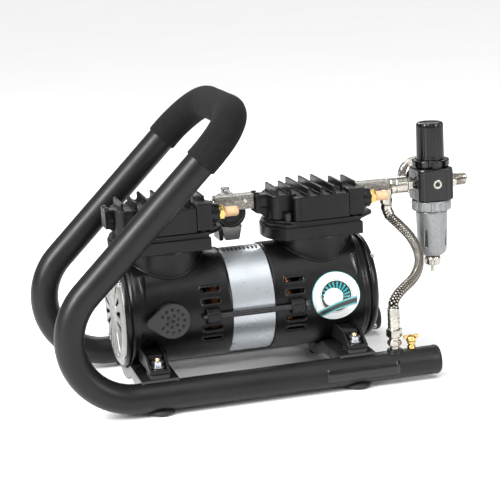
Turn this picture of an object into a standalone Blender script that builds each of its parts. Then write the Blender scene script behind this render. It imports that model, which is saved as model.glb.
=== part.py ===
"""Twin-piston oil-less air compressor on a tubular carrying frame.

Units are metres, +Z is up, +X runs along the motor towards the regulator and -Y is the front.
The origin is on the floor, under the middle of the object.
"""

import math

import bmesh
import bpy
from mathutils import Matrix, Vector

# Clearances
GAP = 0.0003
RUNNING_GAP = 0.0004
HOLE_GAP = 0.0006

# Frame tube, which is also the air tank
TUBE_RADIUS = 0.014
TUBE_WALL = 0.002
TUBE_SIDES = 14
SKID_SPACING = 0.169
SKID_CLEARANCE = 0.003
SKID_END_X = 0.151
BEND_START_X = -0.1453
BEND_RADIUS = 0.0604
LEG_SLOPE = math.radians(44.4)
LEG_LENGTH = 0.1673
HANDLE_CORNER_RADIUS = 0.0467
BEND_STEPS = 10
CORNER_STEPS = 5
FOAM_WALL = 0.0023
FOAM_TAIL = 0.010
HANDLE_TAIL = 0.004

# Cross rails and feet
RAIL_XS = (-0.125, 0.068)
RAIL_WIDTH = 0.036
RAIL_HEIGHT = 0.012
RAIL_WALL = 0.0025
RAIL_OVERHANG = 0.004
RAIL_DISH_GAP = 0.0015
RAIL_DISH_STEPS = 6
CONE_FOOT_Y = 0.040
CONE_FOOT_RADIUS = 0.0095
CONE_TOP_RADIUS = 0.0065

# Pump mounts
STUD_INSET = 0.0045
STUD_RADIUS = 0.0025
STUD_RISE = 0.003
NUT_RADIUS = 0.0065
NUT_HEIGHT = 0.0048
WASHER_RADIUS = 0.0072
WASHER_HEIGHT = 0.0010
MOUNT_SIZE = 0.020
MOUNT_HEIGHT = 0.005
LUG_THICKNESS = 0.004
LUG_WIDTH = 0.020
LUG_REACH = 0.011

# Motor
MOTOR_X = -0.022
MOTOR_Z = 0.079
BAND_WIDTH = 0.042
BAND_STEP = 0.0013
BAND_WALL = 0.0022
SHELL_LENGTH = 0.098
SHELL_RADIUS = 0.053
SHELL_WALL = 0.0035
SHELL_SIDES = 36
WEB_OFFSET = 0.047
WEB_THICKNESS = 0.006
CORE_LENGTH = 0.040
AIR_GAP = 0.0008
ROTOR_RADIUS = 0.026
ROTOR_LENGTH = 0.044
WINDING_HOLES = 6
WINDING_HOLE_RADIUS = 0.0042
WINDING_OVERHANG = 0.010
WINDING_HALF = 0.0055
SHAFT_RADIUS = 0.005
BEARING_RADIUS = 0.011
BEARING_WIDTH = 0.006
FAN_CLEARANCE = 0.0085
FAN_WIDTH = 0.010
FAN_HUB_RADIUS = 0.009
FAN_BLADES = 6
GRILLE_DEPTH = 0.009
GRILLE_WALL = 0.0022
GRILLE_SLOTS = 8
VENT_ANGLES = (14.5, 27.5)
VENT_WIDTH = 0.018
VENT_HEIGHT = 0.0042
VENT_OFFSET = 0.0205
TIE_LUG_WIDTH = 0.014
TIE_LUG_HEIGHT = 0.018
TIE_ROD_RADIUS = 0.003
TIE_ROD_STANDOFF = 0.0045

# Pump heads, measured from each head's own centre
HEAD_OFFSET = 0.0763
NECK_RADIUS = 0.037
BLOCK_RADIUS = 0.052
BLOCK_HALF_DEPTH = 0.036
BLOCK_RIGHT = 0.0415
BLOCK_BOTTOM = 0.1385
BLOCK_HEIGHT = 0.0125
BLOCK_LIP = 0.002
PLATE_THICKNESS = 0.0032
PLATE_LEFT = -0.046
PLATE_RIGHT = 0.059
PLATE_HALF_DEPTH = 0.0375
PLATE_CHAMFER = 0.020
COVER_HEIGHT = 0.0245
COVER_HALF_LENGTH = 0.046
COVER_END_HALF_DEPTH = 0.021
COVER_MIDDLE_LEFT = -0.021
COVER_MIDDLE_RIGHT = 0.028
FIN_COUNT = 7
FIN_PITCH = 0.0131
FIN_HEIGHT = 0.0075
FIN_THICKNESS = 0.0022
LONG_FIN_HALF = 0.0375
SHORT_FIN_HALF = 0.020
INLET_BOSS_RIGHT = 0.051
INLET_BOSS_LEFT = 0.027
INLET_BOSS_Y = (-0.0370, -0.0190)
INLET_BOSS_TOP = 0.0275
OUTLET_BOSS_LENGTH = 0.013
OUTLET_BOSS_HALF = 0.0085
SCREW_COLUMN_RADIUS = 0.0055
SLEEVE_RADIUS = 0.0265
SLEEVE_WALL = 0.003
SLEEVE_HEIGHT = 0.028
BORE_LEDGE = 0.003
BORE_SIDES = 24
PISTON_HEIGHT = 0.006
PISTON_HEADROOM = 0.003
CRANK_THROW = 0.006
JOURNAL_RADIUS = 0.009
JOURNAL_WIDTH = 0.010
ROD_THICKNESS = 0.008
ROD_RIM = 0.0035
ROD_WIDTH = 0.012
SILENCER_LENGTH = 0.0145
SILENCER_RADIUS = 0.0052
SILENCER_HEX_RADIUS = 0.0075
SILENCER_HEX_LENGTH = 0.0055
SILENCER_Z = 0.1725
SILENCER_Y = -0.028

# Air filter cover on the left shell
FILTER_X = -0.105
FILTER_Z = 0.081
FILTER_RADIUS = 0.017
FILTER_TIP = 0.0245
FILTER_TIP_RADIUS = 0.004
FILTER_PLATE = 0.0035
FILTER_STANDOFF = 0.009

# Air line
LINE_Z = 0.1755
BAR_HALF = 0.0075
BAR_CHAMFER = 0.0022
NIPPLE_RADIUS = 0.005
NIPPLE_LENGTH = 0.008
OUTLET_BAR_END_X = 0.1358
BRANCH_X = 0.130
BRANCH_Y = -0.010
BRANCH_RADIUS = 0.0058
BRANCH_DROP = 0.0165
UNION_RADIUS = 0.0087
UNION_END_X = 0.1555
UNION_NUT_RADIUS = 0.0072
HOSE_RADIUS = 0.0052
HOSE_BOSS_X = 0.1068
HOSE_BOSS_RADIUS = 0.0075
HOSE_BOSS_RISE = 0.0015
FITTING_RADIUS = 0.0060
FITTING_HEX_RADIUS = 0.0080
FITTING_ADAPTER = 0.0115
FITTING_HEX = 0.0095
SWITCH_X = -0.019
SWITCH_Z = 0.158
SWITCH_CAP_RADIUS = 0.0148
SWITCH_CAP_FRONT = 0.030
SWITCH_CAP_DEPTH = 0.010
SWITCH_BODY_DEPTH = 0.026
SWITCH_BODY_HALF = 0.0105
SWITCH_BODY_DROP = 0.028
DRAIN_X = 0.124
DRAIN_RADIUS = 0.0042
DRAIN_HEIGHT = 0.007
DRAIN_KNOB_RADIUS = 0.0052
DRAIN_KNOB_HEIGHT = 0.005

# Filter regulator
REG_X = 0.1822
REG_HALF = 0.0186
REG_CHAMFER = 0.0050
REG_BODY_BOTTOM = 0.1580
REG_BODY_TOP = 0.1912
REG_RING_RADIUS = 0.0191
REG_RING_HEIGHT = 0.0080
BONNET_RADIUS = 0.0120
BONNET_WALL = 0.0020
BONNET_HEIGHT = 0.0290
KNOB_RADIUS = 0.0141
KNOB_HEIGHT = 0.0370
KNOB_WALL = 0.0014
KNOB_LIFT = 0.003
ADJUSTER_RADIUS = 0.003
ADJUSTER_HEAD_RADIUS = 0.0060
ADJUSTER_HEAD_HEIGHT = 0.0060
COLLAR_RADIUS = 0.0201
COLLAR_HEIGHT = 0.0103
GUARD_TOP_RADIUS = 0.0161
GUARD_LOW_RADIUS = 0.0148
GUARD_WALL = 0.0014
GUARD_HEIGHT = 0.0478
GUARD_ROUND = 0.0080
GUARD_SLOTS = 4
GUARD_SLOT_WIDTH = 0.0034
GUARD_SLOT_HEIGHT = 0.0170
BOWL_WALL = 0.0014
DRAIN_NUT_RADIUS = 0.0085
DRAIN_NUT_HEIGHT = 0.0105
NIPPLE_TIP_RADIUS = 0.0020
NIPPLE_TIP_LENGTH = 0.0070
GAUGE_RADIUS = 0.0200
GAUGE_WALL = 0.0015
GAUGE_DEPTH = 0.0200
GAUGE_STEM_RADIUS = 0.0050
GAUGE_STEM_LENGTH = 0.0050
POINTER_LENGTH = 0.0130
POINTER_THICKNESS = 0.0010
OUTLET_HEX_RADIUS = 0.0082
OUTLET_HEX_LENGTH = 0.0060
OUTLET_THREAD_RADIUS = 0.0065
OUTLET_THREAD_LENGTH = 0.0124

# Worked out from the values above
SKID_Z = SKID_CLEARANCE + TUBE_RADIUS
HALF_SPACING = SKID_SPACING / 2
RAIL_TOP = SKID_Z + TUBE_RADIUS + GAP + RAIL_WALL
STUD_Y = HALF_SPACING - STUD_INSET
LUG_BOTTOM = RAIL_TOP + GAP + MOUNT_HEIGHT + GAP
BLOCK_TOP = BLOCK_BOTTOM + BLOCK_HEIGHT
PLATE_BOTTOM = BLOCK_TOP + BLOCK_LIP + GAP
COVER_BOTTOM = PLATE_BOTTOM + PLATE_THICKNESS + GAP
COVER_TOP = COVER_BOTTOM + COVER_HEIGHT
HEAD_XS = {"left": MOTOR_X - HEAD_OFFSET, "right": MOTOR_X + HEAD_OFFSET}
SIDES = {"left": -1, "right": 1}
SHELL_START = BAND_WIDTH / 2 + GAP
SHELL_END = SHELL_START + SHELL_LENGTH
SHELL_INNER_RADIUS = SHELL_RADIUS - SHELL_WALL
FAN_RADIUS = SHELL_INNER_RADIUS - FAN_CLEARANCE
BAND_RADIUS = SHELL_RADIUS - BAND_STEP
TIE_ROD_Y = SHELL_RADIUS + TIE_ROD_STANDOFF
KNOB_BOTTOM = REG_BODY_TOP + REG_RING_HEIGHT + GAP
COLLAR_TOP = REG_BODY_BOTTOM - GAP
GUARD_BOTTOM = COLLAR_TOP - COLLAR_HEIGHT - GUARD_HEIGHT


# ---------------------------------------------------------------- helpers


def material(name, colour, metallic, roughness):
    """A Principled material with one colour."""
    made = bpy.data.materials.new(name)
    made.use_nodes = True
    made.diffuse_color = (*colour, 1)
    shader = made.node_tree.nodes["Principled BSDF"]
    shader.inputs["Base Color"].default_value = (*colour, 1)
    shader.inputs["Metallic"].default_value = metallic
    shader.inputs["Roughness"].default_value = roughness
    return made


def make_materials():
    return {
        "black_coat": material("black_coat", (0.025, 0.025, 0.027), 0.0, 0.38),
        "cast_black": material("cast_black", (0.030, 0.030, 0.032), 0.2, 0.45),
        "foam": material("foam", (0.035, 0.035, 0.037), 0.0, 0.95),
        "rubber": material("rubber", (0.022, 0.022, 0.024), 0.0, 0.80),
        "zinc": material("zinc", (0.62, 0.62, 0.60), 1.0, 0.40),
        "silver_band": material("silver_band", (0.70, 0.70, 0.71), 0.8, 0.35),
        "steel": material("steel", (0.45, 0.45, 0.46), 1.0, 0.35),
        "copper": material("copper", (0.75, 0.32, 0.16), 1.0, 0.35),
        "brass": material("brass", (0.78, 0.60, 0.25), 1.0, 0.30),
        "nickel": material("nickel", (0.74, 0.70, 0.64), 1.0, 0.22),
        "cast_zinc": material("cast_zinc", (0.33, 0.32, 0.30), 0.8, 0.50),
        "aluminium": material("aluminium", (0.60, 0.60, 0.60), 1.0, 0.40),
        "grey_metal": material("grey_metal", (0.50, 0.51, 0.52), 0.8, 0.42),
        "braid": material("braid", (0.60, 0.57, 0.52), 1.0, 0.30),
        "gloss_black": material("gloss_black", (0.015, 0.015, 0.016), 0.0, 0.15),
        "dark_plastic": material("dark_plastic", (0.06, 0.06, 0.065), 0.0, 0.50),
        "clear_bowl": material("clear_bowl", (0.75, 0.78, 0.80), 0.0, 0.10),
        "red_paint": material("red_paint", (0.60, 0.05, 0.04), 0.0, 0.40),
    }


def new_object(name, verts, faces, paint=None, origin=(0, 0, 0)):
    """A closed object at origin, its mesh given about that origin, with its faces turned outwards."""
    mesh = bpy.data.meshes.new(name)
    mesh.from_pydata([tuple(v) for v in verts], [], faces)
    shape = bmesh.new()
    shape.from_mesh(mesh)
    bmesh.ops.remove_doubles(shape, verts=shape.verts, dist=1e-7)
    bmesh.ops.recalc_face_normals(shape, faces=shape.faces)
    shape.to_mesh(mesh)
    shape.free()
    item = bpy.data.objects.new(name, mesh)
    item.location = origin
    bpy.context.collection.objects.link(item)
    if paint:
        mesh.materials.append(paint)
    return item


def smooth(item, angle=35):
    item.data.shade_smooth()
    item.data.set_sharp_from_angle(angle=math.radians(angle))
    return item


TURN_AXES = {
    "Z": Matrix.Identity(3),
    "X": Matrix(((0, 0, 1), (1, 0, 0), (0, 1, 0))),
    "Y": Matrix(((0, 1, 0), (0, 0, 1), (1, 0, 0))),
}


def turned(name, profile, axis, origin, sides, paint=None):
    """The closed outline (radius, height) turned about an axis through the origin.

    Points of radius 0 make a pole, so an outline may start and end on the axis.
    """
    turn = TURN_AXES[axis]
    verts = []
    rings = []
    for radius, height in profile:
        if radius == 0:
            rings.append([len(verts)] * sides)
            verts.append(turn @ Vector((0, 0, height)))
            continue
        rings.append(list(range(len(verts), len(verts) + sides)))
        for step in range(sides):
            angle = 2 * math.pi * (step + 0.5) / sides
            verts.append(turn @ Vector((radius * math.cos(angle), radius * math.sin(angle), height)))
    faces = []
    count = len(profile)
    for ring in range(count):
        here, there = rings[ring], rings[(ring + 1) % count]
        if here[0] == here[1] and there[0] == there[1]:
            continue
        for step in range(sides):
            after = (step + 1) % sides
            corner = [here[step], here[after], there[after], there[step]]
            faces.append(list(dict.fromkeys(corner)))
    return smooth(new_object(name, verts, faces, paint, origin))


def rod(name, radius, start, end, axis, origin, sides=20, paint=None):
    """A plain cylinder along an axis, from start to end."""
    return turned(name, [(0, start), (radius, start), (radius, end), (0, end)], axis, origin, sides, paint)


def ring(name, outer, inner, start, end, axis, origin, sides, paint=None):
    """A plain ring along an axis."""
    profile = [(outer, start), (outer, end), (inner, end), (inner, start)]
    return turned(name, profile, axis, origin, sides, paint)


def prism(name, outline, start, end, axis, origin=(0, 0, 0), paint=None):
    """An outline pushed along an axis. Its points are (Y, Z) for X, (X, Z) for Y and (X, Y) for Z."""
    place = {
        "X": lambda u, v, w: (w, u, v),
        "Y": lambda u, v, w: (u, w, v),
        "Z": lambda u, v, w: (u, v, w),
    }[axis]
    count = len(outline)
    verts = [place(u, v, start) for u, v in outline] + [place(u, v, end) for u, v in outline]
    faces = [list(range(count)), list(range(count, 2 * count))]
    for corner in range(count):
        after = (corner + 1) % count
        faces.append([corner, after, count + after, count + corner])
    return new_object(name, verts, faces, paint, origin)


def box(name, low, high, paint=None):
    outline = [(low[0], low[1]), (high[0], low[1]), (high[0], high[1]), (low[0], high[1])]
    return prism(name, outline, low[2], high[2], "Z", paint=paint)


def chamfered(half_u, half_v, cut):
    """A rectangle about the origin with its four corners cut off."""
    return [
        (-half_u + cut, -half_v), (half_u - cut, -half_v), (half_u, -half_v + cut), (half_u, half_v - cut),
        (half_u - cut, half_v), (-half_u + cut, half_v), (-half_u, half_v - cut), (-half_u, -half_v + cut),
    ]


def combine(base, tools, operation):
    """Join the tools to the base, or cut them from it, and remove them."""
    for tool in tools:
        change = base.modifiers.new(operation, "BOOLEAN")
        change.operation = operation
        change.solver = "EXACT"
        change.object = tool
        bpy.context.view_layer.update()
        seen = base.evaluated_get(bpy.context.evaluated_depsgraph_get())
        result = bpy.data.meshes.new_from_object(seen)
        base.modifiers.clear()
        base.data = result
        bpy.data.objects.remove(tool)
    return base


def join(base, *tools):
    return combine(base, tools, "UNION")


def cut(base, *tools):
    return combine(base, tools, "DIFFERENCE")


def paint_over(item, paint):
    """Leave one material on an object that was joined from several."""
    item.data.materials.clear()
    item.data.materials.append(paint)
    for face in item.data.polygons:
        face.material_index = 0
    return smooth(item)


def axis_empty(name, place):
    """An empty on a joint's axis, the parent of the pieces that move about it."""
    holder = bpy.data.objects.new(name, None)
    holder.location = place
    bpy.context.collection.objects.link(holder)
    return holder


def hang_on(holder, *pieces):
    """Parent pieces to an empty without moving them."""
    for piece in pieces:
        piece.parent = holder
        piece.location = Vector(piece.location) - Vector(holder.location)


# ---------------------------------------------------------------- frame tube


def swept_tube(name, path, outer, inner, sides, paint, closed_start=False):
    """A tube of round section along a path, hollow to its far end; a closed start has a thick end wall."""
    points = [Vector(point) for point in path]
    tangents = []
    for index, point in enumerate(points):
        before = points[max(index - 1, 0)]
        after = points[min(index + 1, len(points) - 1)]
        incoming = (point - before).normalized() if index else (after - point).normalized()
        outgoing = (after - point).normalized() if index < len(points) - 1 else incoming
        tangents.append((incoming + outgoing).normalized())
    normal = Vector((0, 0, 1)) if abs(tangents[0].z) < 0.9 else Vector((0, 1, 0))
    frames = []
    for tangent in tangents:
        normal = (normal - tangent * normal.dot(tangent)).normalized()
        frames.append((normal.copy(), tangent.cross(normal)))

    def section(index, radius):
        across, beside = frames[index]
        place = []
        for step in range(sides):
            angle = 2 * math.pi * step / sides
            place.append(points[index] + radius * (math.cos(angle) * across + math.sin(angle) * beside))
        return place

    verts = []
    faces = []
    outer_rings = []
    inner_rings = []
    for index in range(len(points)):
        outer_rings.append(range(len(verts), len(verts) + sides))
        verts += section(index, outer)
    inner_first = 1 if closed_start else 0
    for index in range(inner_first, len(points)):
        inner_rings.append(range(len(verts), len(verts) + sides))
        verts += section(index, inner)
    for rings in (outer_rings, inner_rings):
        for here, there in zip(rings[:-1], rings[1:]):
            for step in range(sides):
                after = (step + 1) % sides
                faces.append([here[step], here[after], there[after], there[step]])
    ends = [(outer_rings[-1], inner_rings[-1])]
    if closed_start:
        faces.append(list(outer_rings[0]))
        faces.append(list(inner_rings[0]))
    else:
        ends.append((outer_rings[0], inner_rings[0]))
    for outside, inside in ends:
        for step in range(sides):
            after = (step + 1) % sides
            faces.append([outside[step], outside[after], inside[after], inside[step]])
    return smooth(new_object(name, verts, faces, paint))


def leg_direction():
    return Vector((math.cos(LEG_SLOPE), 0, math.sin(LEG_SLOPE)))


def bend_end(side):
    """Where the lower bend ends and the straight leg starts."""
    angle = math.pi - LEG_SLOPE
    across = BEND_START_X - BEND_RADIUS * math.sin(angle)
    up = SKID_Z + BEND_RADIUS * (1 - math.cos(angle))
    return Vector((across, side * HALF_SPACING, up))


def side_path(side):
    """The skid from its closed end, the lower bend and the straight leg, up to the handle bend."""
    path = [Vector((SKID_END_X, side * HALF_SPACING, SKID_Z))]
    path.append(Vector((SKID_END_X - 2 * TUBE_WALL, side * HALF_SPACING, SKID_Z)))
    for step in range(BEND_STEPS + 1):
        angle = (math.pi - LEG_SLOPE) * step / BEND_STEPS
        across = BEND_START_X - BEND_RADIUS * math.sin(angle)
        up = SKID_Z + BEND_RADIUS * (1 - math.cos(angle))
        path.append(Vector((across, side * HALF_SPACING, up)))
    path.append(bend_end(side) + leg_direction() * (LEG_LENGTH - HANDLE_TAIL - GAP))
    return path


def handle_path(tail):
    """The U of the handle in the legs' sloping plane, with a straight tail on each side."""
    start = bend_end(-1) + leg_direction() * (LEG_LENGTH - tail)
    path = [start]
    corner_start = bend_end(-1) + leg_direction() * LEG_LENGTH
    for step in range(CORNER_STEPS + 1):
        angle = math.pi / 2 * step / CORNER_STEPS
        along = HANDLE_CORNER_RADIUS * math.sin(angle)
        inward = HANDLE_CORNER_RADIUS * (1 - math.cos(angle))
        path.append(corner_start + leg_direction() * along + Vector((0, inward, 0)))
    mirrored = [Vector((point.x, -point.y, point.z)) for point in reversed(path)]
    return path + mirrored


def make_frame(paints):
    inner = TUBE_RADIUS - TUBE_WALL
    tubes = {}
    for name, side in (("near_side_tube", -1), ("far_side_tube", 1)):
        tubes[name] = swept_tube(
            name, side_path(side), TUBE_RADIUS, inner, TUBE_SIDES, paints["black_coat"], closed_start=True
        )
    boss_top = SKID_Z + TUBE_RADIUS + HOSE_BOSS_RISE
    boss = rod(
        "hose_boss", HOSE_BOSS_RADIUS, SKID_Z + inner + TUBE_WALL / 4, boss_top, "Z",
        (HOSE_BOSS_X, -HALF_SPACING, 0), 18,
    )
    join(tubes["near_side_tube"], boss)
    paint_over(tubes["near_side_tube"], paints["black_coat"])
    swept_tube("handle_bend", handle_path(HANDLE_TAIL), TUBE_RADIUS, inner, TUBE_SIDES, paints["black_coat"])
    sleeve_inner = TUBE_RADIUS + GAP
    swept_tube(
        "foam_grip", handle_path(FOAM_TAIL), sleeve_inner + FOAM_WALL, sleeve_inner, TUBE_SIDES, paints["foam"]
    )


def rail_line(drop):
    """The rail's top line in Y and Z, lowered by drop: level, and dished under the motor to clear its shell."""
    reach = HALF_SPACING + RAIL_OVERHANG
    radius = SHELL_RADIUS + RAIL_DISH_GAP
    dish = math.acos((MOTOR_Z - RAIL_TOP) / radius)
    line = [(-reach, RAIL_TOP - drop)]
    for step in range(RAIL_DISH_STEPS + 1):
        angle = -dish + 2 * dish * step / RAIL_DISH_STEPS
        line.append((radius * math.sin(angle), MOTOR_Z - radius * math.cos(angle) - drop))
    line.append((reach, RAIL_TOP - drop))
    return line


def rail_underside(across):
    """Height of the underside of a rail's top plate, at a distance across from the middle."""
    radius = SHELL_RADIUS + RAIL_DISH_GAP
    level = RAIL_TOP
    if abs(across) < radius:
        level = min(level, MOTOR_Z - math.sqrt(radius ** 2 - across ** 2))
    return level - RAIL_WALL


def make_rails(paints):
    """Upturned channels across the two skids, notched to sit on them."""
    half = RAIL_WIDTH / 2
    inside = half - RAIL_WALL
    for name, place in zip(("left_rail", "right_rail"), RAIL_XS):
        centre = (place, 0, 0)
        outline = rail_line(0) + rail_line(RAIL_HEIGHT)[::-1]
        rail = prism(name, outline, -half, half, "X", centre)
        hollow = rail_line(RAIL_WALL) + rail_line(2 * RAIL_HEIGHT)[::-1]
        stretched = [(1.02 * across, up) for across, up in hollow]
        cut(rail, prism("hollow", stretched, -inside, inside, "X", centre))
        notches = [
            rod("notch", TUBE_RADIUS + GAP, -RAIL_WIDTH, RAIL_WIDTH, "X", (place, side * HALF_SPACING, SKID_Z), 28)
            for side in (-1, 1)
        ]
        cut(rail, *notches)
        paint_over(rail, paints["zinc"])


def corners():
    """The four mounting places as (number, x, side)."""
    return [(1 + index, RAIL_XS[index % 2], -1 if index < 2 else 1) for index in range(4)]


def make_feet(paints):
    for number, place, side in corners():
        top = rail_underside(CONE_FOOT_Y - CONE_TOP_RADIUS) - GAP
        profile = [
            (0, 0), (CONE_FOOT_RADIUS - 0.001, 0), (CONE_FOOT_RADIUS, 0.001), (CONE_FOOT_RADIUS, 0.003),
            (CONE_TOP_RADIUS, top), (0, top),
        ]
        turned(f"cone_foot_{number}", profile, "Z", (place, side * CONE_FOOT_Y, 0), 16, paints["rubber"])


def make_mounts(paints):
    half = MOUNT_SIZE / 2
    low = RAIL_TOP + GAP
    for number, place, side in corners():
        centre = (place, side * STUD_Y, 0)
        pad = prism(
            f"rubber_mount_{number}", chamfered(half, half, MOUNT_SIZE / 8), low, low + MOUNT_HEIGHT, "Z",
            centre, paints["rubber"],
        )
        cut(pad, rod("hole", STUD_RADIUS + HOLE_GAP, 0, LUG_BOTTOM, "Z", centre, 12))
        paint_over(pad, paints["rubber"])
        seat = LUG_BOTTOM + LUG_THICKNESS + GAP
        nut_bottom = seat + WASHER_HEIGHT
        nut_top = nut_bottom + NUT_HEIGHT
        stud = turned(
            f"mount_stud_{number}",
            [
                (0, low), (STUD_RADIUS, low), (STUD_RADIUS, seat), (WASHER_RADIUS, seat),
                (WASHER_RADIUS, nut_bottom), (STUD_RADIUS, nut_bottom), (STUD_RADIUS, nut_top + STUD_RISE),
                (0, nut_top + STUD_RISE),
            ],
            "Z", centre, 12, paints["zinc"],
        )
        nut = rod("nut", NUT_RADIUS, nut_bottom - WASHER_HEIGHT / 2, nut_top, "Z", centre, 6)
        join(stud, nut)
        paint_over(stud, paints["zinc"])


# ---------------------------------------------------------------- motor


def foot_outline(side):
    """One motor foot in Y and Z: a flat lug on the rubber mount and a sloping arm up into the shell."""
    outer = STUD_Y + LUG_REACH
    inner = STUD_Y - LUG_REACH
    top = LUG_BOTTOM + LUG_THICKNESS
    buried = SHELL_INNER_RADIUS * 0.93
    high = math.radians(-15)
    low = math.radians(-52)
    outline = [
        (outer, LUG_BOTTOM), (outer, top), (inner + 0.002, top),
        (buried * math.cos(high), MOTOR_Z + buried * math.sin(high)),
        (buried * math.cos(low), MOTOR_Z + buried * math.sin(low)),
        (inner - 0.002, LUG_BOTTOM),
    ]
    return [(side * across, up) for across, up in outline]


def block_outline(radius, half_depth, right):
    """A circle with a flat front, back and right side, about the head's centre."""
    first = math.asin(half_depth / radius)
    arc = []
    steps = 12
    for step in range(steps + 1):
        angle = math.pi - first + 2 * first * step / steps
        arc.append((radius * math.cos(angle), radius * math.sin(angle)))
    return [(right, half_depth), *arc, (right, -half_depth)]


def make_shell(side_name, paints):
    """One cast end shell: barrel, cylinder neck and block, four feet, vents and tie rod lugs."""
    side = SIDES[side_name]
    head_x = HEAD_XS[side_name]
    start = min(side * SHELL_START, side * SHELL_END)
    end = max(side * SHELL_START, side * SHELL_END)
    axis_place = (MOTOR_X, 0, MOTOR_Z)
    shell = rod(f"{side_name}_end_shell", SHELL_RADIUS, start, end, "X", axis_place, SHELL_SIDES)
    neck = rod("neck", NECK_RADIUS, MOTOR_Z, BLOCK_BOTTOM + 0.002, "Z", (head_x, 0, 0), 24)
    block = prism(
        "block", block_outline(BLOCK_RADIUS, BLOCK_HALF_DEPTH, BLOCK_RIGHT), BLOCK_BOTTOM, BLOCK_TOP, "Z",
        (head_x, 0, 0),
    )
    lip = prism(
        "lip", block_outline(BLOCK_RADIUS - 0.003, BLOCK_HALF_DEPTH - 0.002, BLOCK_RIGHT - 0.002),
        BLOCK_TOP - 0.001, BLOCK_TOP + BLOCK_LIP, "Z", (head_x, 0, 0),
    )
    join(shell, neck, block, lip)
    rail_x = RAIL_XS[0] if side < 0 else RAIL_XS[1]
    lug_x = MOTOR_X + side * (SHELL_START + VENT_OFFSET)
    for front in (-1, 1):
        foot = prism(
            "foot", foot_outline(front), rail_x - LUG_WIDTH / 2, rail_x + LUG_WIDTH / 2, "X"
        )
        lug = box(
            "tie_lug",
            (lug_x - TIE_LUG_WIDTH / 2, min(front * SHELL_INNER_RADIUS, front * (TIE_ROD_Y + 0.005)),
             MOTOR_Z - TIE_LUG_HEIGHT / 2),
            (lug_x + TIE_LUG_WIDTH / 2, max(front * SHELL_INNER_RADIUS, front * (TIE_ROD_Y + 0.005)),
             MOTOR_Z + TIE_LUG_HEIGHT / 2),
        )
        join(shell, foot, lug)
    if side < 0:
        boss = rod(
            "filter_boss", FILTER_RADIUS - 0.0008, -(SHELL_RADIUS + FILTER_STANDOFF), -SHELL_INNER_RADIUS / 2,
            "Y", (FILTER_X, 0, FILTER_Z), 20,
        )
        join(shell, boss)
    hollow_shell(shell, side, head_x, rail_x, lug_x)
    return paint_over(shell, paints["cast_black"])


def hollow_shell(shell, side, head_x, rail_x, lug_x):
    """Cut the motor and crank chambers, the bearing seat, the cylinder bore, the vents and the holes."""
    axis_place = (MOTOR_X, 0, MOTOR_Z)
    reach = 0.005
    web_end = WEB_OFFSET + WEB_THICKNESS
    chambers = ((SHELL_START - reach, WEB_OFFSET), (web_end, SHELL_END + reach))
    for near, far in chambers:
        start, end = sorted((side * near, side * far))
        cut(shell, rod("chamber", SHELL_INNER_RADIUS, start, end, "X", axis_place, SHELL_SIDES))
    start, end = sorted((side * (WEB_OFFSET - reach), side * (web_end + reach)))
    cut(shell, rod("seat", BEARING_RADIUS + GAP, start, end, "X", axis_place, 24))
    sleeve_bottom = BLOCK_TOP + BLOCK_LIP - SLEEVE_HEIGHT
    bore = turned(
        "bore",
        [
            (0, MOTOR_Z), (SLEEVE_RADIUS - BORE_LEDGE, MOTOR_Z), (SLEEVE_RADIUS - BORE_LEDGE, sleeve_bottom - GAP),
            (SLEEVE_RADIUS + GAP, sleeve_bottom - GAP), (SLEEVE_RADIUS + GAP, PLATE_BOTTOM + reach),
            (0, PLATE_BOTTOM + reach),
        ],
        "Z", (head_x, 0, 0), BORE_SIDES,
    )
    cut(shell, bore)
    vent_x = lug_x
    for front in (-1, 1):
        for angle in VENT_ANGLES:
            for sign in (-1, 1):
                vent = box(
                    "vent", (-VENT_WIDTH / 2, 0, -VENT_HEIGHT / 2),
                    (VENT_WIDTH / 2, SHELL_RADIUS + 2 * reach, VENT_HEIGHT / 2),
                )
                vent.rotation_euler = (math.radians(sign * angle), 0, 0)
                if front < 0:
                    vent.rotation_euler = (math.pi + math.radians(sign * angle), 0, 0)
                vent.location = (vent_x, 0, MOTOR_Z)
                cut(shell, vent)
        cut(
            shell,
            rod("stud_hole", STUD_RADIUS + HOLE_GAP, LUG_BOTTOM - reach, LUG_BOTTOM + LUG_THICKNESS + reach, "Z",
                (rail_x, front * STUD_Y, 0), 12),
            rod("tie_hole", TIE_ROD_RADIUS + HOLE_GAP, -TIE_LUG_WIDTH, TIE_LUG_WIDTH, "X",
                (lug_x, front * TIE_ROD_Y, MOTOR_Z), 12),
        )


def make_tie_rod(paints):
    """The front tie rod through both lugs, with a head on its right end."""
    lug_reach = SHELL_START + VENT_OFFSET + TIE_LUG_WIDTH / 2
    place = (MOTOR_X, -TIE_ROD_Y, MOTOR_Z)
    tie = rod("tie_rod", TIE_ROD_RADIUS, -lug_reach - 0.003, lug_reach + 0.002, "X", place, 12)
    head = rod("head", TIE_ROD_RADIUS * 1.7, lug_reach + GAP, lug_reach + 0.0045, "X", place, 6)
    join(tie, head)
    paint_over(tie, paints["steel"])


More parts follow.
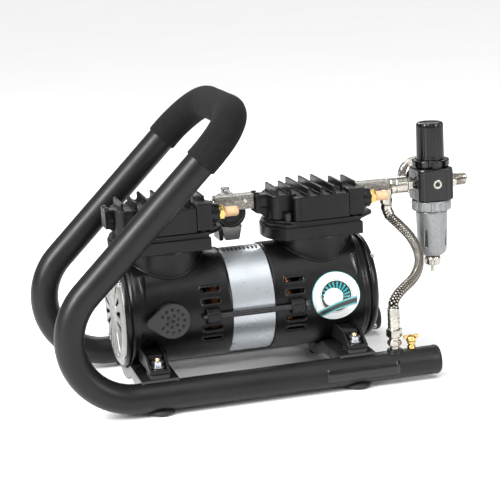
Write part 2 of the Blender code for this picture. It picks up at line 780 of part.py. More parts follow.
def make_stator(paints):
    place = (MOTOR_X, 0, MOTOR_Z)
    half_band = BAND_WIDTH / 2
    band_inner = BAND_RADIUS - BAND_WALL
    ring("stator_band", BAND_RADIUS, band_inner, -half_band, half_band, "X", place, SHELL_SIDES, paints["silver_band"])
    half_core = CORE_LENGTH / 2
    core_outer = band_inner - GAP
    core_inner = ROTOR_RADIUS + AIR_GAP
    core = ring("stator_core", core_outer, core_inner, -half_core, half_core, "X", place, SHELL_SIDES)
    middle = (core_outer + core_inner) / 2
    bundle = WINDING_HOLE_RADIUS - GAP
    rings = []
    for sign in (-1, 1):
        near, far = sorted((sign * (half_core + GAP), sign * (half_core + WINDING_OVERHANG)))
        rings.append(ring("winding", middle + WINDING_HALF, middle - WINDING_HALF, near, far, "X", place, 24))
    windings = rings[0]
    windings.name = "stator_windings"
    bars = []
    for number in range(WINDING_HOLES):
        angle = 2 * math.pi * (number + 0.5) / WINDING_HOLES
        spot = (MOTOR_X, middle * math.cos(angle), MOTOR_Z + middle * math.sin(angle))
        cut(core, rod("slot", WINDING_HOLE_RADIUS, -CORE_LENGTH, CORE_LENGTH, "X", spot, 10))
        reach = half_core + WINDING_OVERHANG / 2
        bars.append(rod("bar", bundle, -reach, reach, "X", spot, 8))
    join(windings, *bars, rings[1])
    paint_over(core, paints["steel"])
    paint_over(windings, paints["copper"])


def make_rotating_parts(paints):
    """Shaft with two eccentric journals, rotor cage and both fans, all turning together."""
    place = Vector((MOTOR_X, 0, MOTOR_Z))
    shaft_end = SHELL_END - 0.002
    shaft = rod("crankshaft", SHAFT_RADIUS, -shaft_end, shaft_end, "X", place, 20)
    for side_name, side in SIDES.items():
        middle = side * HEAD_OFFSET
        spot = (MOTOR_X, 0, MOTOR_Z - side * CRANK_THROW)
        journal = rod(
            "journal", JOURNAL_RADIUS, middle - JOURNAL_WIDTH / 2, middle + JOURNAL_WIDTH / 2, "X", spot, 20
        )
        join(shaft, journal)
    paint_over(shaft, paints["steel"])
    half = ROTOR_LENGTH / 2
    rotor = ring("rotor", ROTOR_RADIUS, SHAFT_RADIUS + GAP, -half, half, "X", place, 28, paints["steel"])
    fans = [make_fan(side_name, paints) for side_name in SIDES]
    holder = axis_empty("crank_axis", place)
    hang_on(holder, shaft, rotor, *fans)


def make_fan(side_name, paints):
    side = SIDES[side_name]
    place = (MOTOR_X, 0, MOTOR_Z)
    outer_face = SHELL_END - 0.004
    start, end = sorted((side * (outer_face - FAN_WIDTH), side * outer_face))
    fan = ring(f"{side_name}_fan", FAN_HUB_RADIUS, SHAFT_RADIUS + GAP, start, end, "X", place, 20)
    plate_start, plate_end = sorted((side * (outer_face - FAN_WIDTH), side * (outer_face - FAN_WIDTH + 0.0015)))
    plate = ring("plate", FAN_RADIUS, FAN_HUB_RADIUS - 0.001, plate_start, plate_end, "X", place, 20)
    join(fan, plate)
    for number in range(FAN_BLADES):
        blade = box(
            "blade", (start, -0.0008, FAN_HUB_RADIUS - 0.001), (end, 0.0008, FAN_RADIUS - 0.001)
        )
        blade.location = place
        blade.rotation_euler = (2 * math.pi * number / FAN_BLADES, 0, 0)
        join(fan, blade)
    return paint_over(fan, paints["dark_plastic"])


def make_bearings(paints):
    for side_name, side in SIDES.items():
        middle = side * (WEB_OFFSET + WEB_THICKNESS / 2)
        half = BEARING_WIDTH / 2
        ring(
            f"{side_name}_bearing", BEARING_RADIUS, SHAFT_RADIUS + RUNNING_GAP, middle - half, middle + half, "X",
            (MOTOR_X, 0, MOTOR_Z), 24, paints["steel"],
        )


def make_end_caps(paints):
    """A dished cap on each end, slotted for the fan's air: silver on the left, black on the right."""
    for name, side_name, paint in (
        ("left_grille", "left", paints["aluminium"]),
        ("right_end_cap", "right", paints["cast_black"]),
    ):
        side = SIDES[side_name]
        near = SHELL_END + GAP
        far = near + GRILLE_DEPTH
        inner = SHELL_RADIUS - GRILLE_WALL
        profile = [
            (SHELL_RADIUS, near), (SHELL_RADIUS, near + 0.003), (SHELL_RADIUS - 0.0012, far - 0.004),
            (SHELL_RADIUS - 0.0045, far - 0.0008), (SHELL_RADIUS - 0.0080, far), (0, far),
            (0, far - GRILLE_WALL), (inner - 0.0070, far - GRILLE_WALL), (inner, far - GRILLE_WALL - 0.003),
            (inner, near),
        ]
        cap = turned(name, [(radius, side * along) for radius, along in profile], "X", (MOTOR_X, 0, MOTOR_Z), SHELL_SIDES)
        for number in range(GRILLE_SLOTS):
            start, end = sorted((side * (near + 0.003), side * (far + 0.003)))
            slot = box("slot", (start, -0.0016, SHELL_RADIUS * 0.38), (end, 0.0016, SHELL_RADIUS * 0.80))
            slot.location = (MOTOR_X, 0, MOTOR_Z)
            slot.rotation_euler = (2 * math.pi * (number + 0.5) / GRILLE_SLOTS, 0, 0)
            cut(cap, slot)
        paint_over(cap, paint)


def make_filter_cover(paints):
    """Teardrop plate: a round end with a small tip to its left, worked out as two arcs and their tangents."""
    reach = FILTER_TIP - FILTER_TIP_RADIUS
    lean = math.acos((FILTER_RADIUS - FILTER_TIP_RADIUS) / reach)
    outline = []
    for step in range(21):
        angle = -(math.pi - lean) + 2 * (math.pi - lean) * step / 20
        outline.append((FILTER_RADIUS * math.cos(angle), FILTER_RADIUS * math.sin(angle)))
    for step in range(7):
        angle = math.pi - lean + 2 * lean * step / 6
        outline.append((-reach + FILTER_TIP_RADIUS * math.cos(angle), FILTER_TIP_RADIUS * math.sin(angle)))
    back = -(SHELL_RADIUS + FILTER_STANDOFF + GAP)
    cover = prism(
        "filter_cover", outline, back - FILTER_PLATE, back, "Y", (FILTER_X, 0, FILTER_Z), paints["dark_plastic"]
    )
    smooth(cover)


# ---------------------------------------------------------------- pumps


def fin_places():
    """Each fin as (x from the head's centre, half its length): the middle three are long."""
    middle = (FIN_COUNT - 1) / 2
    places = []
    for number in range(FIN_COUNT):
        offset = number - middle
        places.append((offset * FIN_PITCH, LONG_FIN_HALF if abs(offset) < 1.5 else SHORT_FIN_HALF))
    return places


def make_head_cover(side_name, paints):
    place = (HEAD_XS[side_name], 0, 0)
    half = COVER_HALF_LENGTH
    cover = prism(
        f"{side_name}_head_cover", chamfered(half, COVER_END_HALF_DEPTH, 0.008), COVER_BOTTOM, COVER_TOP, "Z", place
    )
    depth = LONG_FIN_HALF + 0.0005
    middle = prism(
        "middle", [(COVER_MIDDLE_LEFT, -depth), (COVER_MIDDLE_RIGHT, -depth), (COVER_MIDDLE_RIGHT, depth),
                   (COVER_MIDDLE_LEFT, depth)],
        COVER_BOTTOM, COVER_TOP - 0.0004, "Z", place,
    )
    inlet_low, inlet_high = INLET_BOSS_Y
    inlet = prism(
        "inlet_boss", [(INLET_BOSS_LEFT, inlet_low), (INLET_BOSS_RIGHT, inlet_low), (INLET_BOSS_RIGHT, inlet_high),
                       (INLET_BOSS_LEFT, inlet_high)],
        COVER_BOTTOM + 0.0012, COVER_BOTTOM + INLET_BOSS_TOP, "Z", place,
    )
    outlet = prism(
        "outlet_boss", chamfered(OUTLET_BOSS_HALF, OUTLET_BOSS_HALF, 0.0025), -half - OUTLET_BOSS_LENGTH, -half + 0.004,
        "X", (HEAD_XS[side_name], 0, LINE_Z),
    )
    column = rod(
        "column", SCREW_COLUMN_RADIUS, COVER_BOTTOM + 0.0006, COVER_TOP - 0.0012, "Z",
        (HEAD_XS[side_name] + COVER_MIDDLE_LEFT - 0.001, -depth + SCREW_COLUMN_RADIUS + 0.001, 0), 16,
    )
    join(cover, middle, inlet, outlet, column)
    for offset, length in fin_places():
        low = COVER_TOP - 0.001
        half_foot = FIN_THICKNESS / 2
        half_tip = half_foot * 0.75
        outline = [
            (offset - half_foot, low), (offset + half_foot, low), (offset + half_tip, COVER_TOP + FIN_HEIGHT),
            (offset - half_tip, COVER_TOP + FIN_HEIGHT),
        ]
        join(cover, prism("fin", outline, -length, length, "Y", place))
    paint_over(cover, paints["cast_black"])


def make_valve_plate(side_name, paints):
    cut_off = PLATE_CHAMFER
    depth = PLATE_HALF_DEPTH
    outline = [
        (PLATE_LEFT + cut_off, -depth), (PLATE_RIGHT - cut_off, -depth), (PLATE_RIGHT, -depth + cut_off),
        (PLATE_RIGHT, depth - cut_off), (PLATE_RIGHT - cut_off, depth), (PLATE_LEFT + cut_off, depth),
        (PLATE_LEFT, depth - cut_off), (PLATE_LEFT, -depth + cut_off),
    ]
    place = (HEAD_XS[side_name], 0, 0)
    plate = prism(f"{side_name}_valve_plate", outline, PLATE_BOTTOM, PLATE_BOTTOM + PLATE_THICKNESS, "Z", place)
    for side in (-1, 1):
        port = rod("port", 0.004, PLATE_BOTTOM - 0.01, PLATE_BOTTOM + 0.01, "Z",
                   (HEAD_XS[side_name] + side * 0.010, 0, 0), 12)
        cut(plate, port)
    paint_over(plate, paints["cast_black"])


def make_piston(side_name, paints):
    """Wobble piston: a disc in the sleeve, and a rod with an eye that leaves room for the whole crank throw."""
    side = SIDES[side_name]
    head_x = HEAD_XS[side_name]
    top = BLOCK_TOP + BLOCK_LIP - PISTON_HEADROOM - CRANK_THROW
    radius = SLEEVE_RADIUS - SLEEVE_WALL - GAP
    place = (head_x, 0, MOTOR_Z)
    piston = rod(f"{side_name}_piston", radius, top - PISTON_HEIGHT - MOTOR_Z, top - MOTOR_Z, "Z", place, BORE_SIDES)
    inner = JOURNAL_RADIUS + CRANK_THROW + GAP
    outer = inner + ROD_RIM
    half = ROD_THICKNESS / 2
    reach = CRANK_THROW + GAP
    eye = prism("eye", stadium(outer, reach), -half, half, "X", place)
    shank = box(
        "shank", (-half, -ROD_WIDTH / 2, inner + reach), (half, ROD_WIDTH / 2, top - PISTON_HEIGHT / 2 - MOTOR_Z)
    )
    shank.location = place
    join(piston, eye, shank)
    cut(piston, prism("hole", stadium(inner, reach), -2 * half, 2 * half, "X", place))
    paint_over(piston, paints["aluminium"])
    return piston


def stadium(radius, reach):
    """An upright slot shape about the origin: half circles at the top and bottom."""
    outline = []
    steps = 10
    for half_turn, centre in ((0, reach), (1, -reach)):
        for step in range(steps + 1):
            angle = math.pi * (half_turn + step / steps)
            outline.append((radius * math.cos(angle), centre + radius * math.sin(angle)))
    return outline


def make_pumps(paints):
    for side_name in SIDES:
        make_head_cover(side_name, paints)
        make_valve_plate(side_name, paints)
        make_piston(side_name, paints)
        low = BLOCK_TOP + BLOCK_LIP - SLEEVE_HEIGHT
        ring(
            f"{side_name}_cylinder_sleeve", SLEEVE_RADIUS, SLEEVE_RADIUS - SLEEVE_WALL, low, low + SLEEVE_HEIGHT,
            "Z", (HEAD_XS[side_name], 0, 0), BORE_SIDES, paints["aluminium"],
        )
        make_silencer(side_name, paints)


def make_silencer(side_name, paints):
    """Brass hex with a sintered bronze body, on the inlet boss."""
    start = INLET_BOSS_RIGHT + GAP
    place = (HEAD_XS[side_name], SILENCER_Y, SILENCER_Z)
    hex_end = start + SILENCER_HEX_LENGTH
    silencer = turned(
        f"{side_name}_silencer",
        [
            (0, hex_end - 0.001), (SILENCER_RADIUS, hex_end - 0.001),
            (SILENCER_RADIUS * 0.92, hex_end + SILENCER_LENGTH - 0.002),
            (SILENCER_RADIUS * 0.7, hex_end + SILENCER_LENGTH), (0, hex_end + SILENCER_LENGTH),
        ],
        "X", place, 16,
    )
    join(silencer, rod("hex", SILENCER_HEX_RADIUS, start, hex_end, "X", place, 6))
    paint_over(silencer, paints["brass"])


# ---------------------------------------------------------------- air line


def make_manifolds(paints):
    section = chamfered(BAR_HALF, BAR_HALF, BAR_CHAMFER)
    place = (0, 0, LINE_Z)
    start = HEAD_XS["left"] + COVER_HALF_LENGTH + GAP
    end = HEAD_XS["right"] - COVER_HALF_LENGTH - OUTLET_BOSS_LENGTH - GAP
    cross = prism("cross_manifold", section, start + NIPPLE_LENGTH, end, "X", place)
    join(cross, rod("nipple", NIPPLE_RADIUS, start, start + NIPPLE_LENGTH + 0.002, "X", place, 14))
    paint_over(cross, paints["cast_zinc"])
    start = HEAD_XS["right"] + COVER_HALF_LENGTH + GAP
    outlet = prism("outlet_manifold", section, start, OUTLET_BAR_END_X, "X", place)
    branch = rod(
        "branch", BRANCH_RADIUS, LINE_Z - BRANCH_DROP, LINE_Z + BRANCH_RADIUS / 2, "Z", (BRANCH_X, BRANCH_Y, 0), 18
    )
    join(outlet, branch)
    paint_over(outlet, paints["cast_zinc"])
    start = OUTLET_BAR_END_X + GAP
    swivel = rod("swivel_union", UNION_RADIUS, start, UNION_END_X, "X", place, 24)
    nut = rod("nut", UNION_NUT_RADIUS, UNION_END_X - 0.001, REG_X - REG_HALF - GAP, "X", place, 6)
    join(swivel, nut)
    paint_over(swivel, paints["nickel"])


HOSE_ROUTE = [
    (0.1300, -0.0100, 0.1587),
    (0.1300, -0.0100, 0.1570),
    (0.1300, -0.0100, 0.1550),
    (0.1330, -0.0130, 0.1470),
    (0.1400, -0.0200, 0.1385),
    (0.1470, -0.0290, 0.1285),
    (0.1500, -0.0390, 0.1180),
    (0.1485, -0.0490, 0.1085),
    (0.1420, -0.0590, 0.1000),
    (0.1330, -0.0680, 0.0945),
    (0.1230, -0.0750, 0.0905),
    (0.1140, -0.0805, 0.0860),
    (0.1083, -0.0836, 0.0805),
    (0.1068, -0.0845, 0.0775),
    (0.1068, -0.0845, 0.0760),
    (0.1068, -0.0845, 0.0744),
]
HOSE_STEPS = 2


def smooth_route(points, steps):
    """Points read from a Catmull-Rom curve through the route's own points."""
    place = [Vector(point) for point in points]
    place = [place[0] * 2 - place[1], *place, place[-1] * 2 - place[-2]]
    route = []
    for index in range(1, len(place) - 2):
        p0, p1, p2, p3 = place[index - 1:index + 3]
        for step in range(steps):
            t = step / steps
            route.append(0.5 * (
                2 * p1 + (p2 - p0) * t + (2 * p0 - 5 * p1 + 4 * p2 - p3) * t ** 2
                + (3 * p1 - p0 - 3 * p2 + p3) * t ** 3
            ))
    route.append(place[-2])
    return route


def make_hose(paints):
    """The braided hose, a curve with a round bevel, and its lower fitting on the near skid."""
    shape = bpy.data.curves.new("air_hose", "CURVE")
    shape.dimensions = "3D"
    shape.bevel_depth = HOSE_RADIUS
    shape.bevel_resolution = 3
    shape.use_fill_caps = True
    route = smooth_route(HOSE_ROUTE, HOSE_STEPS)
    line = shape.splines.new("POLY")
    line.points.add(len(route) - 1)
    for point, place in zip(line.points, route):
        point.co = (*place, 1)
    shape.materials.append(paints["braid"])
    bpy.context.collection.objects.link(bpy.data.objects.new("air_hose", shape))

    low = SKID_Z + TUBE_RADIUS + HOSE_BOSS_RISE + GAP
    hex_low = low + FITTING_ADAPTER
    hex_high = hex_low + FITTING_HEX
    place = (HOSE_BOSS_X, -HALF_SPACING, 0)
    top = HOSE_ROUTE[-1][2] - GAP
    fitting = rod("hose_fitting", FITTING_RADIUS, low, top, "Z", place, 18)
    join(fitting, rod("hex", FITTING_HEX_RADIUS, hex_low, hex_high, "Z", place, 6))
    paint_over(fitting, paints["nickel"])


def make_pressure_switch(paints):
    """Round cap facing the front, a square body behind it and a pipe from the cross manifold."""
    place = (SWITCH_X, 0, SWITCH_Z)
    back = SWITCH_CAP_FRONT + SWITCH_CAP_DEPTH
    switch = rod("pressure_switch", SWITCH_CAP_RADIUS, SWITCH_CAP_FRONT, back, "Y", place, 28)
    half = SWITCH_BODY_HALF
    end = back + SWITCH_BODY_DEPTH
    body = box(
        "body", (SWITCH_X - half, back - 0.001, SWITCH_Z - SWITCH_BODY_DROP),
        (SWITCH_X + half, end, SWITCH_Z + half),
    )
    pipe = rod("pipe", NIPPLE_RADIUS * 0.8, BAR_HALF + GAP, back + SWITCH_BODY_DEPTH / 2, "Y", (SWITCH_X, 0, LINE_Z), 12)
    drop = rod(
        "drop", NIPPLE_RADIUS, SWITCH_Z, LINE_Z + NIPPLE_RADIUS, "Z", (SWITCH_X, back + SWITCH_BODY_DEPTH / 2, 0), 12
    )
    join(switch, body, pipe, drop)
    paint_over(switch, paints["dark_plastic"])


def make_drain(paints):
    """Tank drain on the near skid, behind the hose: a small body and a knob that turns."""
    low = SKID_Z + TUBE_RADIUS + GAP
    top = low + DRAIN_HEIGHT
    place = (DRAIN_X, -HALF_SPACING, 0)
    rod("drain_valve", DRAIN_RADIUS, low, top, "Z", place, 14, paints["brass"])
    knob_low = top + GAP
    knob = rod("drain_knob", DRAIN_KNOB_RADIUS, 0, DRAIN_KNOB_HEIGHT, "Z", (*place[:2], knob_low), 10)
    bar = box(
        "bar", (-DRAIN_KNOB_RADIUS * 1.5, -0.0012, DRAIN_KNOB_HEIGHT / 2),
        (DRAIN_KNOB_RADIUS * 1.5, 0.0012, DRAIN_KNOB_HEIGHT * 1.2),
    )
    bar.location = knob.location
    join(knob, bar)
    paint_over(knob, paints["brass"])


# ---------------------------------------------------------------- filter regulator


def make_regulator_body(paints):
    """Body block, notched collar ring and the bonnet that the knob covers."""
    place = (REG_X, 0, 0)
    body = prism(
        "reg_body", chamfered(REG_HALF, REG_HALF, REG_CHAMFER), REG_BODY_BOTTOM, REG_BODY_TOP, "Z", place
    )
    collar = ring(
        "collar", REG_RING_RADIUS, BONNET_RADIUS - BONNET_WALL, REG_BODY_TOP - 0.001, REG_BODY_TOP + REG_RING_HEIGHT,
        "Z", place, 24,
    )
    bonnet = ring(
        "bonnet", BONNET_RADIUS, BONNET_RADIUS - BONNET_WALL, REG_BODY_TOP - 0.001, REG_BODY_TOP + BONNET_HEIGHT,
        "Z", place, 24,
    )
    join(body, collar, bonnet)
    well = rod("well", BONNET_RADIUS - BONNET_WALL, REG_BODY_TOP - 0.006, REG_BODY_TOP + 0.002, "Z", place, 24)
    cut(body, well)
    socket_depth = 0.010
    for axis, spot in (("X", (REG_X, 0, LINE_Z)),):
        cut(body, rod("port", OUTLET_THREAD_RADIUS, REG_HALF - socket_depth, REG_HALF + socket_depth, axis, spot, 16))
    paint_over(body, paints["gloss_black"])


def make_knob(paints):
    """Knob and adjusting screw. The knob slides up the screw to unlock, and both turn together."""
    screw_low = REG_BODY_TOP + 0.001
    head_top = KNOB_BOTTOM + KNOB_HEIGHT - KNOB_WALL - GAP
    head_low = head_top - ADJUSTER_HEAD_HEIGHT
    base = (REG_X, 0, KNOB_BOTTOM)
    screw = turned(
        "reg_screw",
        [
            (0, screw_low), (ADJUSTER_RADIUS * 2, screw_low), (ADJUSTER_RADIUS * 2, screw_low + 0.003),
            (ADJUSTER_RADIUS, screw_low + 0.003), (ADJUSTER_RADIUS, head_low), (ADJUSTER_HEAD_RADIUS, head_low),
            (ADJUSTER_HEAD_RADIUS, head_top), (0, head_top),
        ],
        "Z", (REG_X, 0, 0), 16, paints["steel"],
    )
    inner = KNOB_RADIUS - KNOB_WALL
    knob = turned(
        "reg_knob",
        [
            (inner, 0), (KNOB_RADIUS, 0), (KNOB_RADIUS * 0.985, KNOB_HEIGHT - 0.002),
            (KNOB_RADIUS - 0.0025, KNOB_HEIGHT), (0, KNOB_HEIGHT), (0, KNOB_HEIGHT - KNOB_WALL),
            (inner, KNOB_HEIGHT - KNOB_WALL),
        ],
        "Z", base, 24, paints["gloss_black"],
    )
    holder = axis_empty("knob_axis", base)
    hang_on(holder, screw, knob)


def guard_profile():
    """The bowl guard's outline (radius, height): collar, tapered wall and a round lower end, all of one wall."""
    collar_low = COLLAR_TOP - COLLAR_HEIGHT
    outer = [(COLLAR_RADIUS, COLLAR_TOP), (COLLAR_RADIUS, collar_low), (GUARD_TOP_RADIUS, collar_low - 0.001)]
    centre = GUARD_LOW_RADIUS - GUARD_ROUND
    steps = 3
    for step in range(steps + 1):
        angle = math.pi / 2 * step / steps
        outer.append((centre + GUARD_ROUND * math.cos(angle), GUARD_BOTTOM + GUARD_ROUND * (1 - math.sin(angle))))
    inner = []
    tight = GUARD_ROUND - GUARD_WALL
    for step in range(steps, -1, -1):
        angle = math.pi / 2 * step / steps
        up = GUARD_BOTTOM + GUARD_ROUND - tight * math.sin(angle)
        inner.append((centre + tight * math.cos(angle), up))
    inner.append((GUARD_TOP_RADIUS - GUARD_WALL, collar_low))
    inner.append((GUARD_TOP_RADIUS - GUARD_WALL, COLLAR_TOP))
    return outer + inner


def make_bowl(paints):
    place = (REG_X, 0, 0)
    guard = turned("bowl_guard", guard_profile(), "Z", place, 20)
    slot_low = GUARD_BOTTOM + GUARD_ROUND + 0.003
    for number in range(GUARD_SLOTS):
        slot = box(
            "slot", (0, -GUARD_SLOT_WIDTH / 2, slot_low), (COLLAR_RADIUS, GUARD_SLOT_WIDTH / 2, slot_low + GUARD_SLOT_HEIGHT)
        )
        slot.location = place
        slot.rotation_euler = (0, 0, 2 * math.pi * (number + 0.5) / GUARD_SLOTS)
        cut(guard, slot)
    paint_over(guard, paints["grey_metal"])

    outer = GUARD_LOW_RADIUS - GUARD_WALL - 0.0010
    inner = outer - BOWL_WALL
    low = GUARD_BOTTOM + GUARD_ROUND * 0.45
    hole = NIPPLE_TIP_RADIUS * 1.5 + RUNNING_GAP
    shoulder = 0.0045
    turned(
        "bowl",
        [
            (hole, low), (outer - shoulder, low), (outer, low + shoulder), (outer, COLLAR_TOP - 0.001),
            (inner, COLLAR_TOP - 0.001), (inner, low + shoulder), (inner - shoulder + 0.001, low + BOWL_WALL),
            (hole, low + BOWL_WALL),
        ],
        "Z", place, 20, paints["clear_bowl"],
    )
    nut_top = GUARD_BOTTOM - GAP
    nut_low = nut_top - DRAIN_NUT_HEIGHT
    tip = NIPPLE_TIP_RADIUS
    throat = GUARD_LOW_RADIUS - GUARD_ROUND - 0.001
    turned(
        "bowl_drain",
        [
            (0, -NIPPLE_TIP_LENGTH), (tip, -NIPPLE_TIP_LENGTH), (tip, 0), (DRAIN_NUT_RADIUS * 0.7, 0),
            (DRAIN_NUT_RADIUS, 0.002), (DRAIN_NUT_RADIUS, DRAIN_NUT_HEIGHT * 0.8),
            (DRAIN_NUT_RADIUS * 0.8, DRAIN_NUT_HEIGHT), (min(throat, DRAIN_NUT_RADIUS * 0.7), DRAIN_NUT_HEIGHT),
            (tip * 1.5, DRAIN_NUT_HEIGHT + 0.001), (tip * 1.5, low + BOWL_WALL * 2 - nut_low),
            (0, low + BOWL_WALL * 2 - nut_low),
        ],
        "Z", (REG_X, 0, nut_low), 20, paints["nickel"],
    )


def make_gauge(paints):
    """Pressure gauge on the back of the regulator, its dial facing +Y."""
    place = (REG_X, 0, LINE_Z)
    stem_start = REG_HALF + GAP
    back = stem_start + GAUGE_STEM_LENGTH
    front = back + GAUGE_DEPTH
    inner = GAUGE_RADIUS - GAUGE_WALL
    dial = front - 0.007
    profile = [
        (0, stem_start), (GAUGE_STEM_RADIUS, stem_start), (GAUGE_STEM_RADIUS, back), (GAUGE_RADIUS - 0.0015, back),
        (GAUGE_RADIUS, back + 0.0015), (GAUGE_RADIUS, front), (inner, front), (inner, dial), (0, dial),
    ]
    turned("gauge_case", profile, "Y", place, 24, paints["nickel"])
    pointer_place = (REG_X, dial + 0.0015, LINE_Z)
    pointer = rod("gauge_pointer", 0.002, 0, POINTER_THICKNESS, "Y", pointer_place, 12)
    angle = math.radians(-45)
    needle = prism(
        "needle", [(-0.0010, 0), (0.0010, 0), (0.0003, POINTER_LENGTH), (-0.0003, POINTER_LENGTH)],
        POINTER_THICKNESS * 0.1, POINTER_THICKNESS * 0.9, "Y", pointer_place,
    )
    needle.rotation_euler = (0, math.pi + angle, 0)
    join(pointer, needle)
    paint_over(pointer, paints["red_paint"])


def make_outlet(paints):
    place = (REG_X, 0, LINE_Z)
    start = REG_HALF + GAP
    hex_end = start + OUTLET_HEX_LENGTH
    outlet = rod("outlet_fitting", OUTLET_THREAD_RADIUS, hex_end - 0.001, hex_end + OUTLET_THREAD_LENGTH, "X", place, 18)
    join(outlet, rod("hex", OUTLET_HEX_RADIUS, start, hex_end, "X", place, 6))
    bore = rod("bore", OUTLET_THREAD_RADIUS * 0.55, hex_end, hex_end + 2 * OUTLET_THREAD_LENGTH, "X", place, 12)
    cut(outlet, bore)
    paint_over(outlet, paints["nickel"])


def main():
    for old in list(bpy.data.objects):
        bpy.data.objects.remove(old)
    paints = make_materials()
    make_frame(paints)
    make_rails(paints)
    make_feet(paints)
    make_mounts(paints)
    for side_name in SIDES:
        make_shell(side_name, paints)
    make_tie_rod(paints)
    make_stator(paints)
    make_rotating_parts(paints)
    make_bearings(paints)
    make_end_caps(paints)
    make_filter_cover(paints)
    make_pumps(paints)
    make_manifolds(paints)
    make_hose(paints)
    make_pressure_switch(paints)
    make_drain(paints)
    make_regulator_body(paints)
    make_knob(paints)
    make_bowl(paints)
    make_gauge(paints)
    make_outlet(paints)


main()
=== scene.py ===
"""The finished air compressor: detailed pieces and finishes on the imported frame.

Lengths are in millimetres, which build() turns into metres; materials, lights and the camera are in metres.
+Z up, +X along the motor shaft towards the regulator, -Y the front.
"""

import math

import bmesh
import bpy
import numpy as np
from mathutils import Matrix, Vector


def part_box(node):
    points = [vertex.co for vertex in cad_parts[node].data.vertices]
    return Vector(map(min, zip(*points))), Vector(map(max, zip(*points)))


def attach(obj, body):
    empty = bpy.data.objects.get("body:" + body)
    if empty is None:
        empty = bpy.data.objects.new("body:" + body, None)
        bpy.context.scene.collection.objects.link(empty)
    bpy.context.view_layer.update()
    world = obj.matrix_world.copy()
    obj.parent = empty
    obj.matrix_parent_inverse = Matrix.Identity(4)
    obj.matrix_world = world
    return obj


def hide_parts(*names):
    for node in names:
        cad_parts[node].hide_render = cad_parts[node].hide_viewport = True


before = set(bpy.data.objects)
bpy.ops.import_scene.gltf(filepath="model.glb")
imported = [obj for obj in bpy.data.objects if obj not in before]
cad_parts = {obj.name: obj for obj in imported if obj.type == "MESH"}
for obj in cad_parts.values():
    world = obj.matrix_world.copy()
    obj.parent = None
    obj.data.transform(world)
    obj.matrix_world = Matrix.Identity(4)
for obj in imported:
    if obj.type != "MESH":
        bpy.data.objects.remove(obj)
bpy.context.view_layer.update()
MM = 0.001
TAU = 2 * math.pi


# ------------------------------------------------------------ places read from the frame


def box(node):
    """The node's lowest and highest corners, in millimetres."""
    return np.array([list(corner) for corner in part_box(node)]) / MM


def middle(node):
    return box(node).mean(0)


def low(node):
    return box(node)[0]


def high(node):
    return box(node)[1]


MOTOR_X, _, MOTOR_Z = middle("stator_band")
BAND_HALF = high("stator_band")[0] - MOTOR_X
SHELL_R = 53
DRUM_LENGTH = 119.3
WAIST = 41.8
TUBE_R = 14
TUBE_Y = TUBE_R - high("near_side_tube")[1]
SKID_Z = low("near_side_tube")[2] + TUBE_R
SKID_END = high("near_side_tube")[0]
RAILS = {"left": middle("left_rail")[0], "right": middle("right_rail")[0]}
RAIL_TOP = high("left_rail")[2]
HEADS = {"left": middle("left_cylinder_sleeve")[0], "right": middle("right_cylinder_sleeve")[0]}
SIGN = {"left": -1, "right": 1}
SIDES = {"front": -1, "back": 1}
STUD_Y = middle("mount_stud_4")[1]
LUG_LOW = high("rubber_mount_1")[2] + 0.3
PLATE_LOW = low("left_valve_plate")[2]
COVER_LOW = low("left_head_cover")[2]
COVER_TOP = COVER_LOW + 24.5
FIN_TOP = high("left_head_cover")[2]
LINE_Z = middle("cross_manifold")[2]
SHAFT = (MOTOR_X, 0, MOTOR_Z)
AIR_LINE = (0, 0, LINE_Z)
REG_X = middle("bowl")[0]
REG_LOW = low("reg_body")[2]
REG_TOP = REG_LOW + 33.2
VENT_X = {"left": MOTOR_X - WAIST, "right": MOTOR_X + WAIST}
HOSE_TOP = (130, -10, 0)
TIE_Y = 57.5


# ------------------------------------------------------------ surfaces


def build(name, verts, faces, uvs=None, centre=None, sharp=32):
    """A mesh object from arrays, its faces turned outwards from the centre, or by its signed volume if closed.

    The volume is the sum over the faces of (twice the face's area vector) times (the face's middle).
    """
    verts = np.asarray(verts, float)
    centre = verts.mean(0) if centre is None else np.asarray(centre, float)
    volume = 0.0
    for size in {len(face) for face in faces}:
        corner = verts[np.array([face for face in faces if len(face) == size])] - centre
        area = np.cross(corner, np.roll(corner, -1, axis=1)).sum(1)
        volume += np.sum(area * corner.mean(1))
    if volume < 0:
        faces = [tuple(face)[::-1] for face in faces]
        uvs = None if uvs is None else [tuple(pair)[::-1] for pair in uvs]
    mesh = bpy.data.meshes.new(name)
    mesh.from_pydata((verts * MM).tolist(), [], [tuple(int(v) for v in face) for face in faces])
    if uvs is not None:
        layer = mesh.uv_layers.new(name="UVMap")
        layer.data.foreach_set("uv", np.array([place for pair in uvs for place in pair], float).ravel())
    shape = bmesh.new()
    shape.from_mesh(mesh)
    bmesh.ops.remove_doubles(shape, verts=shape.verts, dist=1e-7)
    bmesh.ops.dissolve_degenerate(shape, edges=shape.edges, dist=1e-8)
    shape.to_mesh(mesh)
    shape.free()
    mesh.shade_smooth()
    mesh.set_sharp_from_angle(angle=math.radians(sharp))
    piece = bpy.data.objects.new(name, mesh)
    bpy.context.collection.objects.link(piece)
    return piece


